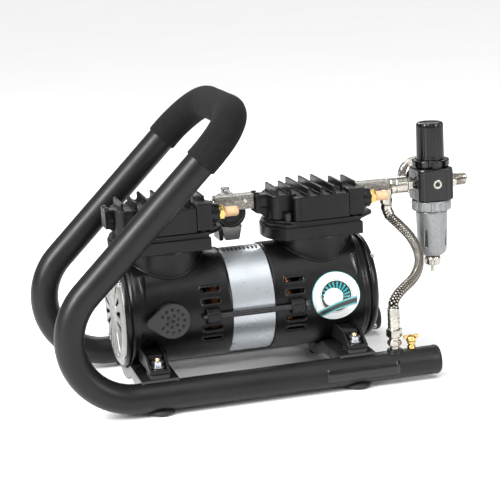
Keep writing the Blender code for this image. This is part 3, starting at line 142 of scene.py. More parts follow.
def surface(name, grid, round_v=True, round_u=False, caps=True, keep=None, centre=None, sharp=32):
    """Quads over a grid of points: rows run along u, columns along v. A round direction is joined to its start.

    keep marks the quads that stay, so that slots are left open. caps close the first and last rows.
    """
    grid = np.asarray(grid, float)
    rows, columns = grid.shape[:2]
    number = np.arange(rows * columns).reshape(rows, columns)
    after_v = np.roll(number, -1, axis=1) if round_v else number[:, 1:]
    here = number if round_v else number[:, :-1]
    if round_u:
        below, below_after = np.roll(here, -1, axis=0), np.roll(after_v, -1, axis=0)
        top, top_after = here, after_v
    else:
        top, top_after, below, below_after = here[:-1], after_v[:-1], here[1:], after_v[1:]
    quads = np.stack([top, top_after, below_after, below], axis=-1)
    u = np.arange(quads.shape[0])[:, None] / max(1, quads.shape[0])
    v = np.arange(quads.shape[1])[None, :] / quads.shape[1]
    du, dv = 1 / max(1, quads.shape[0]), 1 / quads.shape[1]
    pairs = np.stack([np.stack(np.broadcast_arrays(u, v), -1), np.stack(np.broadcast_arrays(u, v + dv), -1),
        np.stack(np.broadcast_arrays(u + du, v + dv), -1), np.stack(np.broadcast_arrays(u + du, v), -1)], axis=2)
    quads = quads.reshape(-1, 4)
    pairs = pairs.reshape(-1, 4, 2)
    if keep is not None:
        stays = np.asarray(keep).ravel()
        quads, pairs = quads[stays], pairs[stays]
    faces = [tuple(quad) for quad in quads]
    uvs = [[tuple(place) for place in pair] for pair in pairs]
    if caps and round_v and not round_u:
        faces.append(tuple(number[0][::-1]))
        faces.append(tuple(number[-1]))
        uvs.append([(0.0, 0.0)] * columns)
        uvs.append([(1.0, 1.0)] * columns)
    return build(name, grid.reshape(-1, 3), faces, uvs, centre, sharp)


AXES = {"X": np.array([[0, 1, 0], [0, 0, 1], [1, 0, 0]], float), "Y": np.array([[0, 0, 1], [1, 0, 0], [0, 1, 0]],
    float), "Z": np.eye(3)}


def lathe(name, profile, axis, centre, sides, ripple=None, sharp=32, caps=True):
    """A profile of (radius, height) turned about an axis: the point is radius times (cos a, sin a), at height.

    ripple(radius, height, angle) adds to the radius, for flutes, knurls and threads.
    """
    profile = np.array(profile, float)
    angle = TAU * np.arange(sides) / sides
    radius = np.repeat(profile[:, :1], sides, axis=1)
    height = np.repeat(profile[:, 1:], sides, axis=1)
    around = np.repeat(angle[None, :], len(profile), axis=0)
    if ripple is not None:
        radius = radius + ripple(radius, height, around)
    local = np.stack([radius * np.cos(around), radius * np.sin(around), height], -1)
    return surface(name, local @ AXES[axis] + np.array(centre), caps=caps, sharp=sharp)


def soft_profile(corners, bevel=0.6, steps=3):
    """The profile with each inner corner replaced by a short curve, as wide as bevel allows."""
    corners = [np.array(corner, float) for corner in corners]
    line = [corners[0]]
    for before, corner, after in zip(corners[:-2], corners[1:-1], corners[2:]):
        back, ahead = before - corner, after - corner
        room = min(bevel, 0.45 * np.linalg.norm(back), 0.45 * np.linalg.norm(ahead))
        if room < 1e-3:
            line.append(corner)
            continue
        start = corner + back / np.linalg.norm(back) * room
        end = corner + ahead / np.linalg.norm(ahead) * room
        line.append(start + back / np.linalg.norm(back) * 0.04 * room)
        for step in range(steps + 1):
            t = step / steps
            line.append((1 - t) ** 2 * start + 2 * t * (1 - t) * corner + t ** 2 * end)
        line.append(end + ahead / np.linalg.norm(ahead) * 0.04 * room)
    line.append(corners[-1])
    return np.array(line)


def round_motor(x, radius, angle):
    """Points round the motor's axis: (x, radius times cos a, the axis's height plus radius times sin a)."""
    return np.stack(np.broadcast_arrays(x, radius * np.cos(angle), MOTOR_Z + radius * np.sin(angle)), -1)


def turned(name, corners, bevel, axis, centre, sides, ripple=None, **more):
    """A lathe piece whose inner corners are rounded by bevel."""
    return lathe(name, soft_profile(corners, bevel), axis, centre, sides, ripple, **more)


def corners(x0, y0, x1, y1):
    """A rectangle's four corners, in turn."""
    return [(x0, y0), (x1, y0), (x1, y1), (x0, y1)]


def rounded(points, radius, steps=5):
    """A closed outline with its corners replaced by curves of about that radius."""
    points = [np.array(point, float) for point in points]
    outline = []
    for index, corner in enumerate(points):
        before, after = points[index - 1], points[(index + 1) % len(points)]
        back, ahead = before - corner, after - corner
        room = min(radius, 0.45 * np.linalg.norm(back), 0.45 * np.linalg.norm(ahead))
        start = corner + back / np.linalg.norm(back) * room
        end = corner + ahead / np.linalg.norm(ahead) * room
        for step in range(steps + 1):
            t = step / steps
            outline.append((1 - t) ** 2 * start + 2 * t * (1 - t) * corner + t ** 2 * end)
    return np.array(outline)


def inward(outline):
    """The unit normal at each point of a closed outline, pointing into it."""
    ahead = np.roll(outline, -1, axis=0) - outline
    back = outline - np.roll(outline, 1, axis=0)
    ahead = ahead / np.maximum(np.linalg.norm(ahead, axis=1, keepdims=True), 1e-12)
    back = back / np.maximum(np.linalg.norm(back, axis=1, keepdims=True), 1e-12)
    along = ahead + back
    along = along / np.maximum(np.linalg.norm(along, axis=1, keepdims=True), 1e-12)
    normal = np.stack([-along[:, 1], along[:, 0]], -1)
    area = 0.5 * np.sum(outline[:, 0] * np.roll(outline[:, 1], -1) - np.roll(outline[:, 0], -1) * outline[:, 1])
    return normal if area > 0 else -normal


PLANES = {"X": lambda a, b, c: np.stack([c, a, b], -1), "Y": lambda a, b, c: np.stack([a, c, b], -1),
    "Z": lambda a, b, c: np.stack([a, b, c], -1)}


def slab(name, outline, start, end, axis="Z", centre=(0, 0, 0), bevel=0.8, steps=3, sharp=32):
    """An outline pushed along an axis, its rims rounded: each ring is the outline moved inwards by the bevel's arc.

    The outline's points are (y, z) for X, (x, z) for Y and (x, y) for Z.
    """
    outline = np.array(outline, float)
    if start > end:
        start, end = end, start
    bevel = min(bevel, 0.45 * (end - start))
    normal = inward(outline)
    rings = []
    for rim, sense in ((start, 1), (end, -1)):
        arc = [(bevel * 1.06, rim)]
        for step in range(steps + 1):
            turn = math.pi / 2 * step / steps
            arc.append((bevel * (1 - math.sin(turn)), rim + sense * bevel * (1 - math.cos(turn))))
        arc.append((0, rim + sense * bevel * 1.06))
        rings += arc if sense > 0 else arc[::-1]
    grid = []
    for inset, level in rings:
        ring = outline + normal * inset
        grid.append(PLANES[axis](ring[:, 0], ring[:, 1], np.full(len(ring), level)))
    return surface(name, np.array(grid) + np.array(centre), sharp=sharp)


def block(name, lowest, highest, bevel=1, corner=1):
    """A box between two corners, with its upright edges rounded by corner and its rims by bevel."""
    (x0, y0, z0), (x1, y1, z1) = lowest, highest
    outline = rounded(corners(x0, y0, x1, y1), corner, 3)
    return slab(name, outline, z0, z1, bevel=bevel)


def nut(name, across_flats, start, end, axis, centre, turn=0.0):
    """A hexagon with its rims cut back by a cone: at each place the smaller of the hexagon's and cone's radius."""
    sides = 72
    angle = TAU * np.arange(sides) / sides
    sector = (angle - turn + TAU / 12) % (TAU / 6) - TAU / 12
    flat = across_flats / 2 / np.cos(sector)
    length = end - start
    cut = min(0.16 * across_flats, 0.3 * length)
    grid = []
    for level in (0, 0.5 * cut, cut, length - cut, length - 0.5 * cut, length):
        margin = min(level, length - level)
        limit = across_flats / 2 * 0.97 + margin * 1.6
        radius = np.minimum(flat, limit)
        grid.append(np.stack([radius * np.cos(angle), radius * np.sin(angle), np.full(sides, start + level)], -1))
    return surface(name, np.array(grid) @ AXES[axis] + np.array(centre), sharp=20)


def frames_along(path, normal=(0, 0, 1)):
    """A normal and a side vector at each point of a path, carried along it without twist."""
    path = np.asarray(path, float)
    tangent = np.gradient(path, axis=0)
    tangent /= np.linalg.norm(tangent, axis=1, keepdims=True)
    across = np.array(normal, float)
    normals = []
    for direction in tangent:
        across = across - direction * (across @ direction)
        across /= np.linalg.norm(across)
        normals.append(across.copy())
    normals = np.array(normals)
    return normals, np.cross(tangent, normals)


def carried(path, radius, angle, up, side):
    """Rings on a path: each point is the path's, plus radius times (cos a times up, plus sin a times side)."""
    ring = np.cos(angle)[None, :, None] * up[:, None, :] + np.sin(angle)[None, :, None] * side[:, None, :]
    return path[:, None, :] + radius[..., None] * ring


def evenly(line, count):
    """Distances and points at even steps along a line."""
    lengths = np.concatenate([[0], np.cumsum(np.linalg.norm(np.diff(line, axis=0), axis=1))])
    even = np.linspace(0, lengths[-1], count)
    return even, np.stack([np.interp(even, lengths, line[:, k]) for k in range(3)], -1)


def tube(name, path, radius, sides, normal=(0, 0, 1), shape=None):
    """A round section carried along a path. radius is one value or one a point; shape(along, angle) adds to it."""
    path = np.asarray(path, float)
    up, side = frames_along(path, normal)
    angle = TAU * np.arange(sides) / sides
    wide = np.broadcast_to(np.asarray(radius, float).reshape(-1, 1), (len(path), sides)).copy()
    if shape is not None:
        length = np.concatenate([[0], np.cumsum(np.linalg.norm(np.diff(path, axis=0), axis=1))])
        wide += shape(length[:, None], angle[None, :])
    return surface(name, carried(path, wide, angle, up, side))


def catmull(points, steps):
    """Points read from a smooth curve through the route's own points."""
    place = np.array(points, float)
    place = np.vstack([2 * place[0] - place[1], place, 2 * place[-1] - place[-2]])
    t = (np.arange(steps) / steps)[:, None]
    line = []
    for index in range(1, len(place) - 2):
        p0, p1, p2, p3 = place[index - 1:index + 3]
        line.append(0.5 * (2 * p1 + (p2 - p0) * t + (2 * p0 - 5 * p1 + 4 * p2 - p3) * t ** 2
            + (3 * p1 - p0 - 3 * p2 + p3) * t ** 3))
    return np.vstack(line + [place[-2][None, :]])


def put(piece, slot, finish, *stands_for, body="frame"):
    """Rides the piece on its body, gives it its finish, and hides the nodes it stands for. slot is not used."""
    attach(piece, body)
    if stands_for:
        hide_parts(*stands_for)
    piece.data.materials.clear()
    piece.data.materials.append(FINISH[finish])
    return piece


def casting(piece, *stands_for):
    """A black painted casting."""
    return put(piece, "cast_black", "cast", *stands_for)


def plated(piece, *stands_for):
    """A nickel plated fitting."""
    return put(piece, "nickel", "nickel", *stands_for)


def thicken(piece, thickness):
    """Gives an open surface a wall, inwards from the surface."""
    wall = piece.modifiers.new("wall", "SOLIDIFY")
    wall.thickness = thickness * MM
    wall.offset = -1
    wall.use_even_offset = True
    return piece


# ------------------------------------------------------------ finishes


FINISH = {}


class Finish:
    """A material built from nodes: one shader, with patterns read on the object's own coordinates."""

    def __init__(self, key, name, colour, roughness, metallic=0.0, specular=None):
        self.material = bpy.data.materials.new(name)
        self.material.use_nodes = True
        self.material.diffuse_color = (*colour, 1)
        self.tree = self.material.node_tree
        self.shader = self.tree.nodes["Principled BSDF"]
        self.give(self.shader, {"Base Color": (*colour, 1), "Roughness": roughness, "Metallic": metallic})
        if specular is not None:
            self.give(self.shader, {"Specular IOR Level": specular})
        self.colour = colour
        self.roughness = roughness
        self.place = self.node("ShaderNodeTexCoord").outputs["Object"]
        self.bump_end = None
        FINISH[key] = self.material

    def node(self, kind, **values):
        made = self.tree.nodes.new(kind)
        for key, value in values.items():
            setattr(made, key, value)
        return made

    def give(self, node, values):
        """Sets the node's own sockets, and returns the finish."""
        for key, value in values.items():
            node.inputs[key].default_value = value
        return self

    def link(self, start, end):
        self.tree.links.new(start, end)
        return self

    def noise(self, scale, detail=4.0, roughness=0.55, stretch=None):
        made = self.node("ShaderNodeTexNoise")
        self.give(made, {"Scale": scale, "Detail": detail, "Roughness": roughness})
        place = self.place
        if stretch:
            mapping = self.node("ShaderNodeMapping")
            self.give(mapping, {"Scale": stretch}).link(place, mapping.inputs["Vector"])
            place = mapping.outputs["Vector"]
        self.link(place, made.inputs["Vector"])
        return made.outputs["Fac"]

    def cells(self, scale):
        made = self.node("ShaderNodeTexVoronoi", feature="F1")
        self.give(made, {"Scale": scale}).link(self.place, made.inputs["Vector"])
        return made.outputs["Distance"]

    def wave(self, scale, distortion=0.0, **kind):
        made = self.node("ShaderNodeTexWave", **kind)
        self.give(made, {"Scale": scale, "Distortion": distortion}).link(self.place, made.inputs["Vector"])
        return made.outputs["Fac"]

    def read(self, name):
        """A number that the mesh keeps at each of its points."""
        return self.node("ShaderNodeAttribute", attribute_name=name).outputs["Fac"]

    def ramp(self, value, stops, steps=False):
        made = self.node("ShaderNodeValToRGB")
        made.color_ramp.interpolation = "CONSTANT" if steps else "LINEAR"
        elements = made.color_ramp.elements
        while len(elements) < len(stops):
            elements.new(0.5)
        for element, (place, colour) in zip(elements, stops):
            element.position = place
            element.color = (*colour, 1)
        self.link(value, made.inputs["Fac"])
        return made.outputs["Color"]

    def coloured(self, value, stops):
        return self.link(self.ramp(value, stops), self.shader.inputs["Base Color"])

    def tone(self, scale, amount, detail=4.0):
        """Colour that drifts darker and lighter by amount, with a noise of that scale."""
        dark = tuple(c * (1 - amount) for c in self.colour)
        light = tuple(min(1.0, c * (1 + amount)) for c in self.colour)
        return self.coloured(self.noise(scale, detail), [(0.3, dark), (0.7, light)])

    def uneven(self, scale, amount):
        """Roughness that drifts by amount either way."""
        made = self.node("ShaderNodeMapRange")
        least, most = max(0.02, self.roughness - amount), min(1.0, self.roughness + amount)
        self.give(made, {"From Min": 0.3, "From Max": 0.7, "To Min": least, "To Max": most})
        self.link(self.noise(scale, 5.0), made.inputs["Value"])
        return self.link(made.outputs["Result"], self.shader.inputs["Roughness"])

    def relief(self, value, strength, depth):
        """Bump from a value; calls add up, each laid over the one before."""
        bump = self.node("ShaderNodeBump")
        self.give(bump, {"Strength": strength, "Distance": depth}).link(value, bump.inputs["Height"])
        if self.bump_end:
            self.link(self.bump_end, bump.inputs["Normal"])
        self.bump_end = bump.outputs["Normal"]
        return self.link(self.bump_end, self.shader.inputs["Normal"])

    def grain(self, scale, detail, strength, depth, stretch=None):
        """Bump from a noise of that scale."""
        return self.relief(self.noise(scale, detail, stretch=stretch), strength, depth)

    def coat(self, weight, roughness):
        return self.give(self.shader, {"Coat Weight": weight, "Coat Roughness": roughness})

    def glassy(self, weight, bending):
        return self.give(self.shader, {"Transmission Weight": weight, "IOR": bending})


def make_paints():
    """Black coats, rubber and plastics."""
    coat = Finish("coat", "satin_powder_coat", (0.007, 0.007, 0.0075), 0.38, specular=0.27)
    coat.tone(18, 0.18).uneven(40, 0.05).grain(900, 3, 0.22, 0.00025).grain(160, 2, 0.08, 0.0004)
    cast = Finish("cast", "painted_casting", (0.0035, 0.0035, 0.004), 0.31, specular=0.26)
    cast.tone(30, 0.22).uneven(55, 0.07).grain(1300, 4, 0.20, 0.00022).grain(70, 3, 0.10, 0.0006)
    # The rails' satin black, glossier than the frame's coat, its base lifted a little as painted reflection of the
    # bright surroundings.
    rail = Finish("rail", "rail_coat_painted_reflection", (0.012, 0.012, 0.013), 0.26)
    rail.tone(40, 0.2).uneven(80, 0.06).grain(900, 3, 0.15, 0.0002)
    rubber = Finish("rubber", "moulded_rubber", (0.006, 0.006, 0.0065), 0.58)
    rubber.tone(60, 0.25).uneven(120, 0.08).grain(1500, 3, 0.25, 0.0002)
    foam = Finish("foam", "foam_rubber", (0.040, 0.040, 0.042), 0.93, specular=0.28)
    pores, grain = foam.cells(1050), foam.noise(520, 6, 0.7)
    foam.coloured(grain, [(0.30, (0.0015, 0.0015, 0.0015)), (0.55, (0.0045, 0.0045, 0.0048)),
        (0.75, (0.016, 0.016, 0.017))])
    foam.relief(grain, 0.9, 0.0011).relief(pores, 0.6, 0.0006)
    gloss = Finish("gloss", "gloss_black_moulding", (0.003, 0.003, 0.0035), 0.20, specular=0.35)
    gloss.tone(40, 0.25).uneven(60, 0.05).grain(90, 3, 0.05, 0.0004).coat(0.12, 0.05)
    plastic = Finish("plastic", "matt_black_plastic", (0.011, 0.011, 0.0115), 0.50)
    plastic.tone(80, 0.15).uneven(100, 0.06).grain(1800, 3, 0.25, 0.0002)
    # dark: painted shade for the band's vent slots, and the plain black of the left ear screws.
    Finish("dark", "black_screw_and_painted_slot_shade", (0.006, 0.006, 0.006), 0.6).tone(60, 0.2).uneven(90, 0.05)
    film = Finish("film", "dark_label_film", (0.006, 0.005, 0.005), 0.22)
    film.tone(50, 0.12).uneven(50, 0.04).grain(900, 3, 0.10, 0.0002)


def make_metals():
    """Plated, turned, cast and woven metals."""
    zinc = Finish("zinc", "zinc_plate", (0.46, 0.47, 0.50), 0.26, 1.0)
    zinc.tone(140, 0.16).uneven(200, 0.10).grain(900, 4, 0.18, 0.0002)
    Finish("stud", "yellow_zinc_stud", (0.72, 0.58, 0.36), 0.30, 1.0).tone(200, 0.2).uneven(200, 0.10)
    nickel = Finish("nickel", "nickel_plate", (0.46, 0.435, 0.39), 0.20, 1.0)
    nickel.tone(140, 0.22).uneven(150, 0.06).grain(700, 3, 0.08, 0.00015, (1, 1, 6))
    brass = Finish("brass", "turned_brass", (0.66, 0.46, 0.16), 0.20, 1.0)
    brass.tone(120, 0.14).uneven(200, 0.08).grain(1200, 3, 0.12, 0.00015, (6, 1, 1))
    sinter = Finish("sinter", "sintered_bronze", (0.76, 0.50, 0.30), 0.55, 0.75)
    sinter.tone(1500, 0.35).relief(sinter.cells(2200), 0.9, 0.0005)
    bar = Finish("bar", "raw_zinc_casting", (0.20, 0.19, 0.17), 0.42, 0.85)
    bar.coloured(bar.noise(620, 8, 0.75), [(0.36, (0.09, 0.085, 0.078)), (0.52, (0.20, 0.19, 0.17)),
        (0.66, (0.42, 0.40, 0.37))])
    bar.uneven(500, 0.14).grain(800, 6, 0.35, 0.0004)
    band = Finish("band", "satin_silver_sheet", (0.46, 0.49, 0.52), 0.30, 0.7)
    band.tone(25, 0.05).uneven(60, 0.05).grain(260, 2, 0.03, 0.0003)
    grille = Finish("grille", "cast_silver_grille", (0.30, 0.297, 0.285), 0.38, 0.85)
    grille.tone(45, 0.18).uneven(80, 0.10).grain(900, 5, 0.22, 0.0003)
    guard = Finish("guard", "hammered_grey_guard", (0.25, 0.255, 0.26), 0.34, 0.55)
    guard.tone(700, 0.22, 6.0).uneven(300, 0.10).grain(1000, 5, 0.35, 0.0003)
    steel = Finish("steel", "machined_steel", (0.42, 0.42, 0.43), 0.30, 1.0)
    steel.tone(70, 0.15).uneven(120, 0.08).grain(900, 3, 0.12, 0.0002, (8, 1, 1))
    Finish("screw", "black_oxide_screw", (0.035, 0.035, 0.037), 0.32, 0.7).tone(200, 0.2).uneven(200, 0.08)
    alloy = Finish("alloy", "cast_alloy", (0.55, 0.55, 0.55), 0.38, 1.0)
    alloy.tone(60, 0.12).uneven(90, 0.08).grain(1000, 4, 0.2, 0.0002)
    copper = Finish("copper", "enamelled_copper", (0.62, 0.24, 0.10), 0.28, 0.9)
    strands = copper.wave(260, 1.5, wave_type="RINGS", rings_direction="X")
    copper.tone(300, 0.35).relief(strands, 0.7, 0.0006)
    core = Finish("core", "stacked_laminations", (0.16, 0.155, 0.15), 0.45, 0.9)
    core.tone(120, 0.2).relief(core.wave(320, wave_type="BANDS", bands_direction="X"), 0.5, 0.0003)
    braid = Finish("braid", "steel_braid", (0.60, 0.56, 0.50), 0.26, 1.0)
    # Colour by strand height: near black in the valleys between strands, painted shade, up to bright steel on the
    # crests.
    braid.coloured(braid.read("crest"), [(0.30, (0.003, 0.0027, 0.0024)), (0.50, (0.05, 0.046, 0.040)),
        (0.80, (0.66, 0.61, 0.54))])
    braid.uneven(900, 0.10).grain(3000, 4, 0.4, 0.0002)


def make_pale_finishes():
    """Clear parts, the filter, the gauge's dial and the floor."""
    clear = Finish("clear", "clear_polycarbonate", (0.88, 0.91, 0.92), 0.06)
    clear.tone(60, 0.03).grain(40, 2, 0.05, 0.0005).glassy(0.9, 1.5)
    Finish("glass", "gauge_lens", (0.95, 0.96, 0.96), 0.03).tone(60, 0.02).glassy(0.96, 1.45)
    porous = Finish("porous", "porous_filter", (0.72, 0.71, 0.68), 0.8)
    porous.tone(900, 0.12).relief(porous.cells(1800), 0.6, 0.0004)
    Finish("dial", "dial_white", (0.80, 0.80, 0.78), 0.45).tone(50, 0.03).uneven(60, 0.04)
    Finish("ink", "dial_ink", (0.015, 0.015, 0.016), 0.5).tone(200, 0.2)
    Finish("red", "pointer_red", (0.55, 0.04, 0.03), 0.35).tone(200, 0.1).uneven(200, 0.05)
    Finish("floor", "pale_floor", (0.86, 0.86, 0.86), 0.75).tone(3, 0.01)


def make_badge_finish():
    """Round badge: rings by the distance from its centre, a plain pattern inside and a two-tone ribbon across."""
    badge = Finish("badge", "round_badge", (0.10, 0.42, 0.44), 0.28)

    def mix(factor, under, over):
        made = badge.node("ShaderNodeMix", data_type="RGBA")
        badge.link(factor, made.inputs["Factor"])
        for value, name in ((under, "A"), (over, "B")):
            if isinstance(value, tuple):
                made.inputs[name].default_value = (*value, 1)
            else:
                badge.link(value, made.inputs[name])
        return made.outputs["Result"]

    switch = [(0.0, (0, 0, 0)), (0.5, (1, 1, 1))]
    black, pale, teal = (0.010, 0.010, 0.010), (0.62, 0.65, 0.65), (0.02, 0.28, 0.30)
    rings = badge.ramp(badge.read("reach"), [(0.0, black), (0.62, black), (0.625, pale), (0.655, pale), (0.66, black),
        (0.675, pale), (0.965, pale), (0.97, teal)], True)
    inner = mix(badge.ramp(badge.read("rays"), switch, True), rings, teal)
    shape = mix(badge.ramp(badge.read("shape"), switch, True), inner, pale)
    ribbon = badge.ramp(badge.read("ribbon"), [(0.0, black), (0.06, pale), (0.10, teal), (0.26, black), (0.74, teal),
        (0.90, pale), (0.94, black)], True)
    on_ribbon = badge.ramp(badge.read("ribbon"), [(0.0, (0, 0, 0)), (0.02, (1, 1, 1)), (0.98, (0, 0, 0))], True)
    badge.link(mix(on_ribbon, shape, ribbon), badge.shader.inputs["Base Color"])
    badge.uneven(80, 0.04).coat(0.4, 0.1)


# ------------------------------------------------------------ tubular frame


LEG_SLOPE = math.radians(44.4)
LEG = np.array([math.cos(LEG_SLOPE), 0, math.sin(LEG_SLOPE)])
BEND_R = 60.4
BEND_X = -145.3
LEG_LENGTH = 167.3
CORNER_R = 46.7


def side_line():
    """The near skid, its lower bend and leg, as points up to the handle's corner."""
    skid = [np.array([x, -TUBE_Y, SKID_Z]) for x in np.linspace(SKID_END - 2, BEND_X + 2, 30)]
    bend = [np.array([BEND_X - BEND_R * math.sin(a), -TUBE_Y, SKID_Z + BEND_R * (1 - math.cos(a))])
        for a in np.linspace(0, math.pi - LEG_SLOPE, 44)]
    top = bend[-1] + LEG * LEG_LENGTH
    leg = [bend[-1] + LEG * t for t in np.linspace(6, LEG_LENGTH, 18)]
    return np.array(skid + bend + leg), top


def handle_line(tail):
    """The handle: a tail of each leg, two corners in the legs' sloping plane, and the bar between them."""
    _, start = side_line()
    tail_part = [start + LEG * t for t in np.linspace(-tail, 0, 10)[:-1]]
    angle = np.linspace(0, math.pi / 2, 40)[:, None]
    corner = start + LEG * CORNER_R * np.sin(angle) + np.array([0, CORNER_R, 0]) * (1 - np.cos(angle))
    half = np.vstack([tail_part, corner])
    share = np.linspace(0, 1, 24)[1:-1, None]
    return np.vstack([half, half[-1] * [1, -1, 1] * share + half[-1] * (1 - share), half[::-1] * [1, -1, 1]])


def make_tube_frame():
    """The skids, legs and handle as one round tube along their centreline, its ends closed by shrinking rings."""
    near, _ = side_line()
    handle = handle_line(4)[9:-9]
    route = np.vstack([near, handle[1:-1], near[::-1] * [1, -1, 1]])
    closing = TUBE_R * np.array([0.86, 0.955, 0.99])
    ends = np.array([(SKID_END - inset, -TUBE_Y, SKID_Z) for inset in (0.0, 0.5, 1.2)])
    radius = np.concatenate([closing, np.full(len(route), TUBE_R), closing[::-1]])
    route = np.vstack([ends, route, ends[::-1] * [1, -1, 1]])
    put(tube("frame_tube", route, radius, 56), "black_coat", "coat", "near_side_tube", "far_side_tube", "handle_bend")
    for name, side in (("near", -1), ("far", 1)):
        put(lathe(f"{name}_end_weld", [(TUBE_R - 1, -4.2), (TUBE_R + 0.05, -3.6), (TUBE_R + 0.35, -2.9),
            (TUBE_R + 0.05, -2.2), (TUBE_R - 1, -1.8)], "X", (SKID_END, side * TUBE_Y, SKID_Z), 56,
            lambda r, h, a: 0.07 * np.sin(38 * a)), "black_coat", "coat")
        for rail, x in RAILS.items():
            put(turned(f"{name}_{rail}_skid_pad", [(0.2, 0.05), (9.5, 0.05), (12.5, 1.6), (12.5, 3.4), (10, 5.4),
                (0.2, 5.4)], 1, "Z", (x, side * TUBE_Y, 0), 40), "rubber", "rubber")


def make_foam():
    """Foam tube over the handle: round, its ends turned in, its skin gently uneven."""
    even, path = evenly(handle_line(10), 230)
    end = np.minimum(even, even[-1] - even)
    inner = TUBE_R + 0.15
    outer = -low("foam_grip")[1] - TUBE_Y
    rise = np.sqrt(np.clip(1 - (1 - np.clip(end / 2.2, 0, 1)) ** 2, 0, 1))
    radius = inner + (outer - inner) * rise

    def skin(along, angle):
        wave = np.sin(0.095 * along + 3 * np.sin(2 * angle)) * np.sin(3 * angle + 0.06 * along)
        fine = np.sin(0.9 * along + 5 * np.cos(7 * angle)) * np.sin(19 * angle + 0.7 * along)
        return -(0.16 + 0.14 * wave + 0.08 * fine) * np.clip(end / 4, 0, 1)[:, None]

    grip = tube("handle_foam", path, radius, 72, shape=skin)
    put(grip, "foam", "foam", "foam_grip")


def rail_line(y):
    """Height of the rail's top over y: level, and dished where the motor's barrel passes over it."""
    radius = SHELL_R + 1.5
    arc = MOTOR_Z - np.sqrt(np.clip(radius ** 2 - y ** 2, 0, None))
    return np.where(np.abs(y) < radius, np.minimum(RAIL_TOP, arc), RAIL_TOP)


def make_rails():
    """Channel section carried across the skids, its flanges cut back to the tubes' round tops."""
    half, wall, deep = 18, 2.5, 12
    section = rounded([(-half, -deep), (-half + wall, -deep), (-half + wall, -wall), (half - wall, -wall),
        (half - wall, -deep), (half, -deep), (half, 0), (-half, 0)], 1.1, 3)
    y = np.linspace(low("left_rail")[1], high("left_rail")[1], 121)
    for rail, x in RAILS.items():
        level = rail_line(y)[:, None] + section[None, :, 1]
        beside = np.abs(np.abs(y) - TUBE_Y)
        crest = SKID_Z + np.sqrt(np.clip((TUBE_R + 0.3) ** 2 - beside ** 2, 0, None))
        crest = np.where(beside < TUBE_R + 0.3, crest, -1000)
        level = np.maximum(level, crest[:, None])
        grid = np.stack([np.broadcast_to(x + section[None, :, 0], level.shape),
            np.broadcast_to(y[:, None], level.shape), level], -1)
        put(surface(f"{rail}_cross_rail", grid), "black_coat", "rail", f"{rail}_rail")
    for number in (1, 2, 3, 4):
        x, y_foot, _ = middle(f"cone_foot_{number}")
        top = high(f"cone_foot_{number}")[2]
        put(turned(f"rubber_cone_{number}", [(0.2, 0), (8.2, 0), (9.3, 1.2), (9.2, 3.5), (6.4, top - 2.2), (6.4, top),
            (0.2, top)], 0.9, "Z", (x, y_foot, 0), 40), "rubber", "rubber", f"cone_foot_{number}")


# ------------------------------------------------------------ pump mounts


def thread(pitch, depth):
    """A ripple for lathe: a screw thread as a wave that climbs one pitch each turn."""
    return lambda r, h, a: depth * (np.abs(((h / pitch + a / TAU) % 1) * 2 - 1) - 1)


def make_mounts():
    """On each corner: a rubber block, two washers, a nut, a threaded stud and the motor's foot over them."""
    number = 0
    for word, side in SIDES.items():
        for rail, x in RAILS.items():
            number += 1
            y = side * STUD_Y
            tag = f"{rail}_{word}"
            z = low(f"rubber_mount_{number}")[2]
            put(slab(f"{tag}_mount_block", rounded(corners(-9.8, -9.8, 9.8, 9.8), 3), z, z + 4.9, "Z", (x, y, 0),
                1.3), "rubber", "rubber", f"rubber_mount_{number}")
            base = LUG_LOW + 4
            put(turned(f"{tag}_washer", corners(2.6, 0.3, 7.1, 1.4), 0.3, "Z", (x, y, base), 36), "zinc", "zinc",
                f"mount_stud_{number}")
            put(turned(f"{tag}_spring_washer", corners(2.6, 1.4, 5.2, 2.3), 0.2, "Z", (x, y, base), 32), "zinc",
                "zinc")
            put(nut(f"{tag}_mount_nut", 10.2, 2.3, 6.3, "Z", (x, y, base), 0.4 + number), "zinc", "zinc")
            profile = [(0.3, 1)] + [(2.5, h) for h in np.linspace(1, 8.6, 60)]
            profile += [(1.8, 9.1), (0.2, 9.1)]
            put(lathe(f"{tag}_stud", profile, "Z", (x, y, base), 24, thread(0.8, 0.42), 50), "zinc", "stud")
            make_bracket(tag, x, side)


def make_bracket(tag, x, side):
    """Motor foot: a flat lug, a sloping arm up to the barrel and two cheek ribs beside the nut."""
    reach = SHELL_R * 0.955

    def on_barrel(degrees):
        angle = math.radians(degrees)
        return (side * reach * math.cos(angle), MOTOR_Z + reach * math.sin(angle))

    y = side * STUD_Y
    casting(block(f"{tag}_foot_lug", (x - 10, y - 11, LUG_LOW), (x + 10, y + 11, LUG_LOW + 4), 1, 2.5))
    arm = [(side * (STUD_Y - 7.8), LUG_LOW + 1), (side * (STUD_Y - 8.6), LUG_LOW + 12.5),
        (side * (STUD_Y - 12), LUG_LOW + 13.5), on_barrel(-31), on_barrel(-56), (side * (STUD_Y - 12), LUG_LOW + 0.5)]
    casting(slab(f"{tag}_foot_arm", rounded(arm, 1.5, 3), x - 7, x + 7, "X", bevel=1.2))
    cheek = [(side * (STUD_Y + 9.5), LUG_LOW + 1), (side * (STUD_Y + 8), LUG_LOW + 4.6),
        (side * (STUD_Y - 7), LUG_LOW + 13.6), (side * (STUD_Y - 12), LUG_LOW + 14.4), on_barrel(-29), on_barrel(-54),
        (side * (STUD_Y - 11), LUG_LOW + 0.5)]
    for place, word in ((-8.6, "left"), (8.6, "right")):
        casting(slab(f"{tag}_foot_{word}_rib", rounded(cheek, 2, 3), x + place - 1.3, x + place + 1.3, "X",
            bevel=0.8))


# ------------------------------------------------------------ motor


VENTS = np.array([-27.5, -14.5, 14.5, 27.5, 152.5, 165.5, 194.5, 207.5])


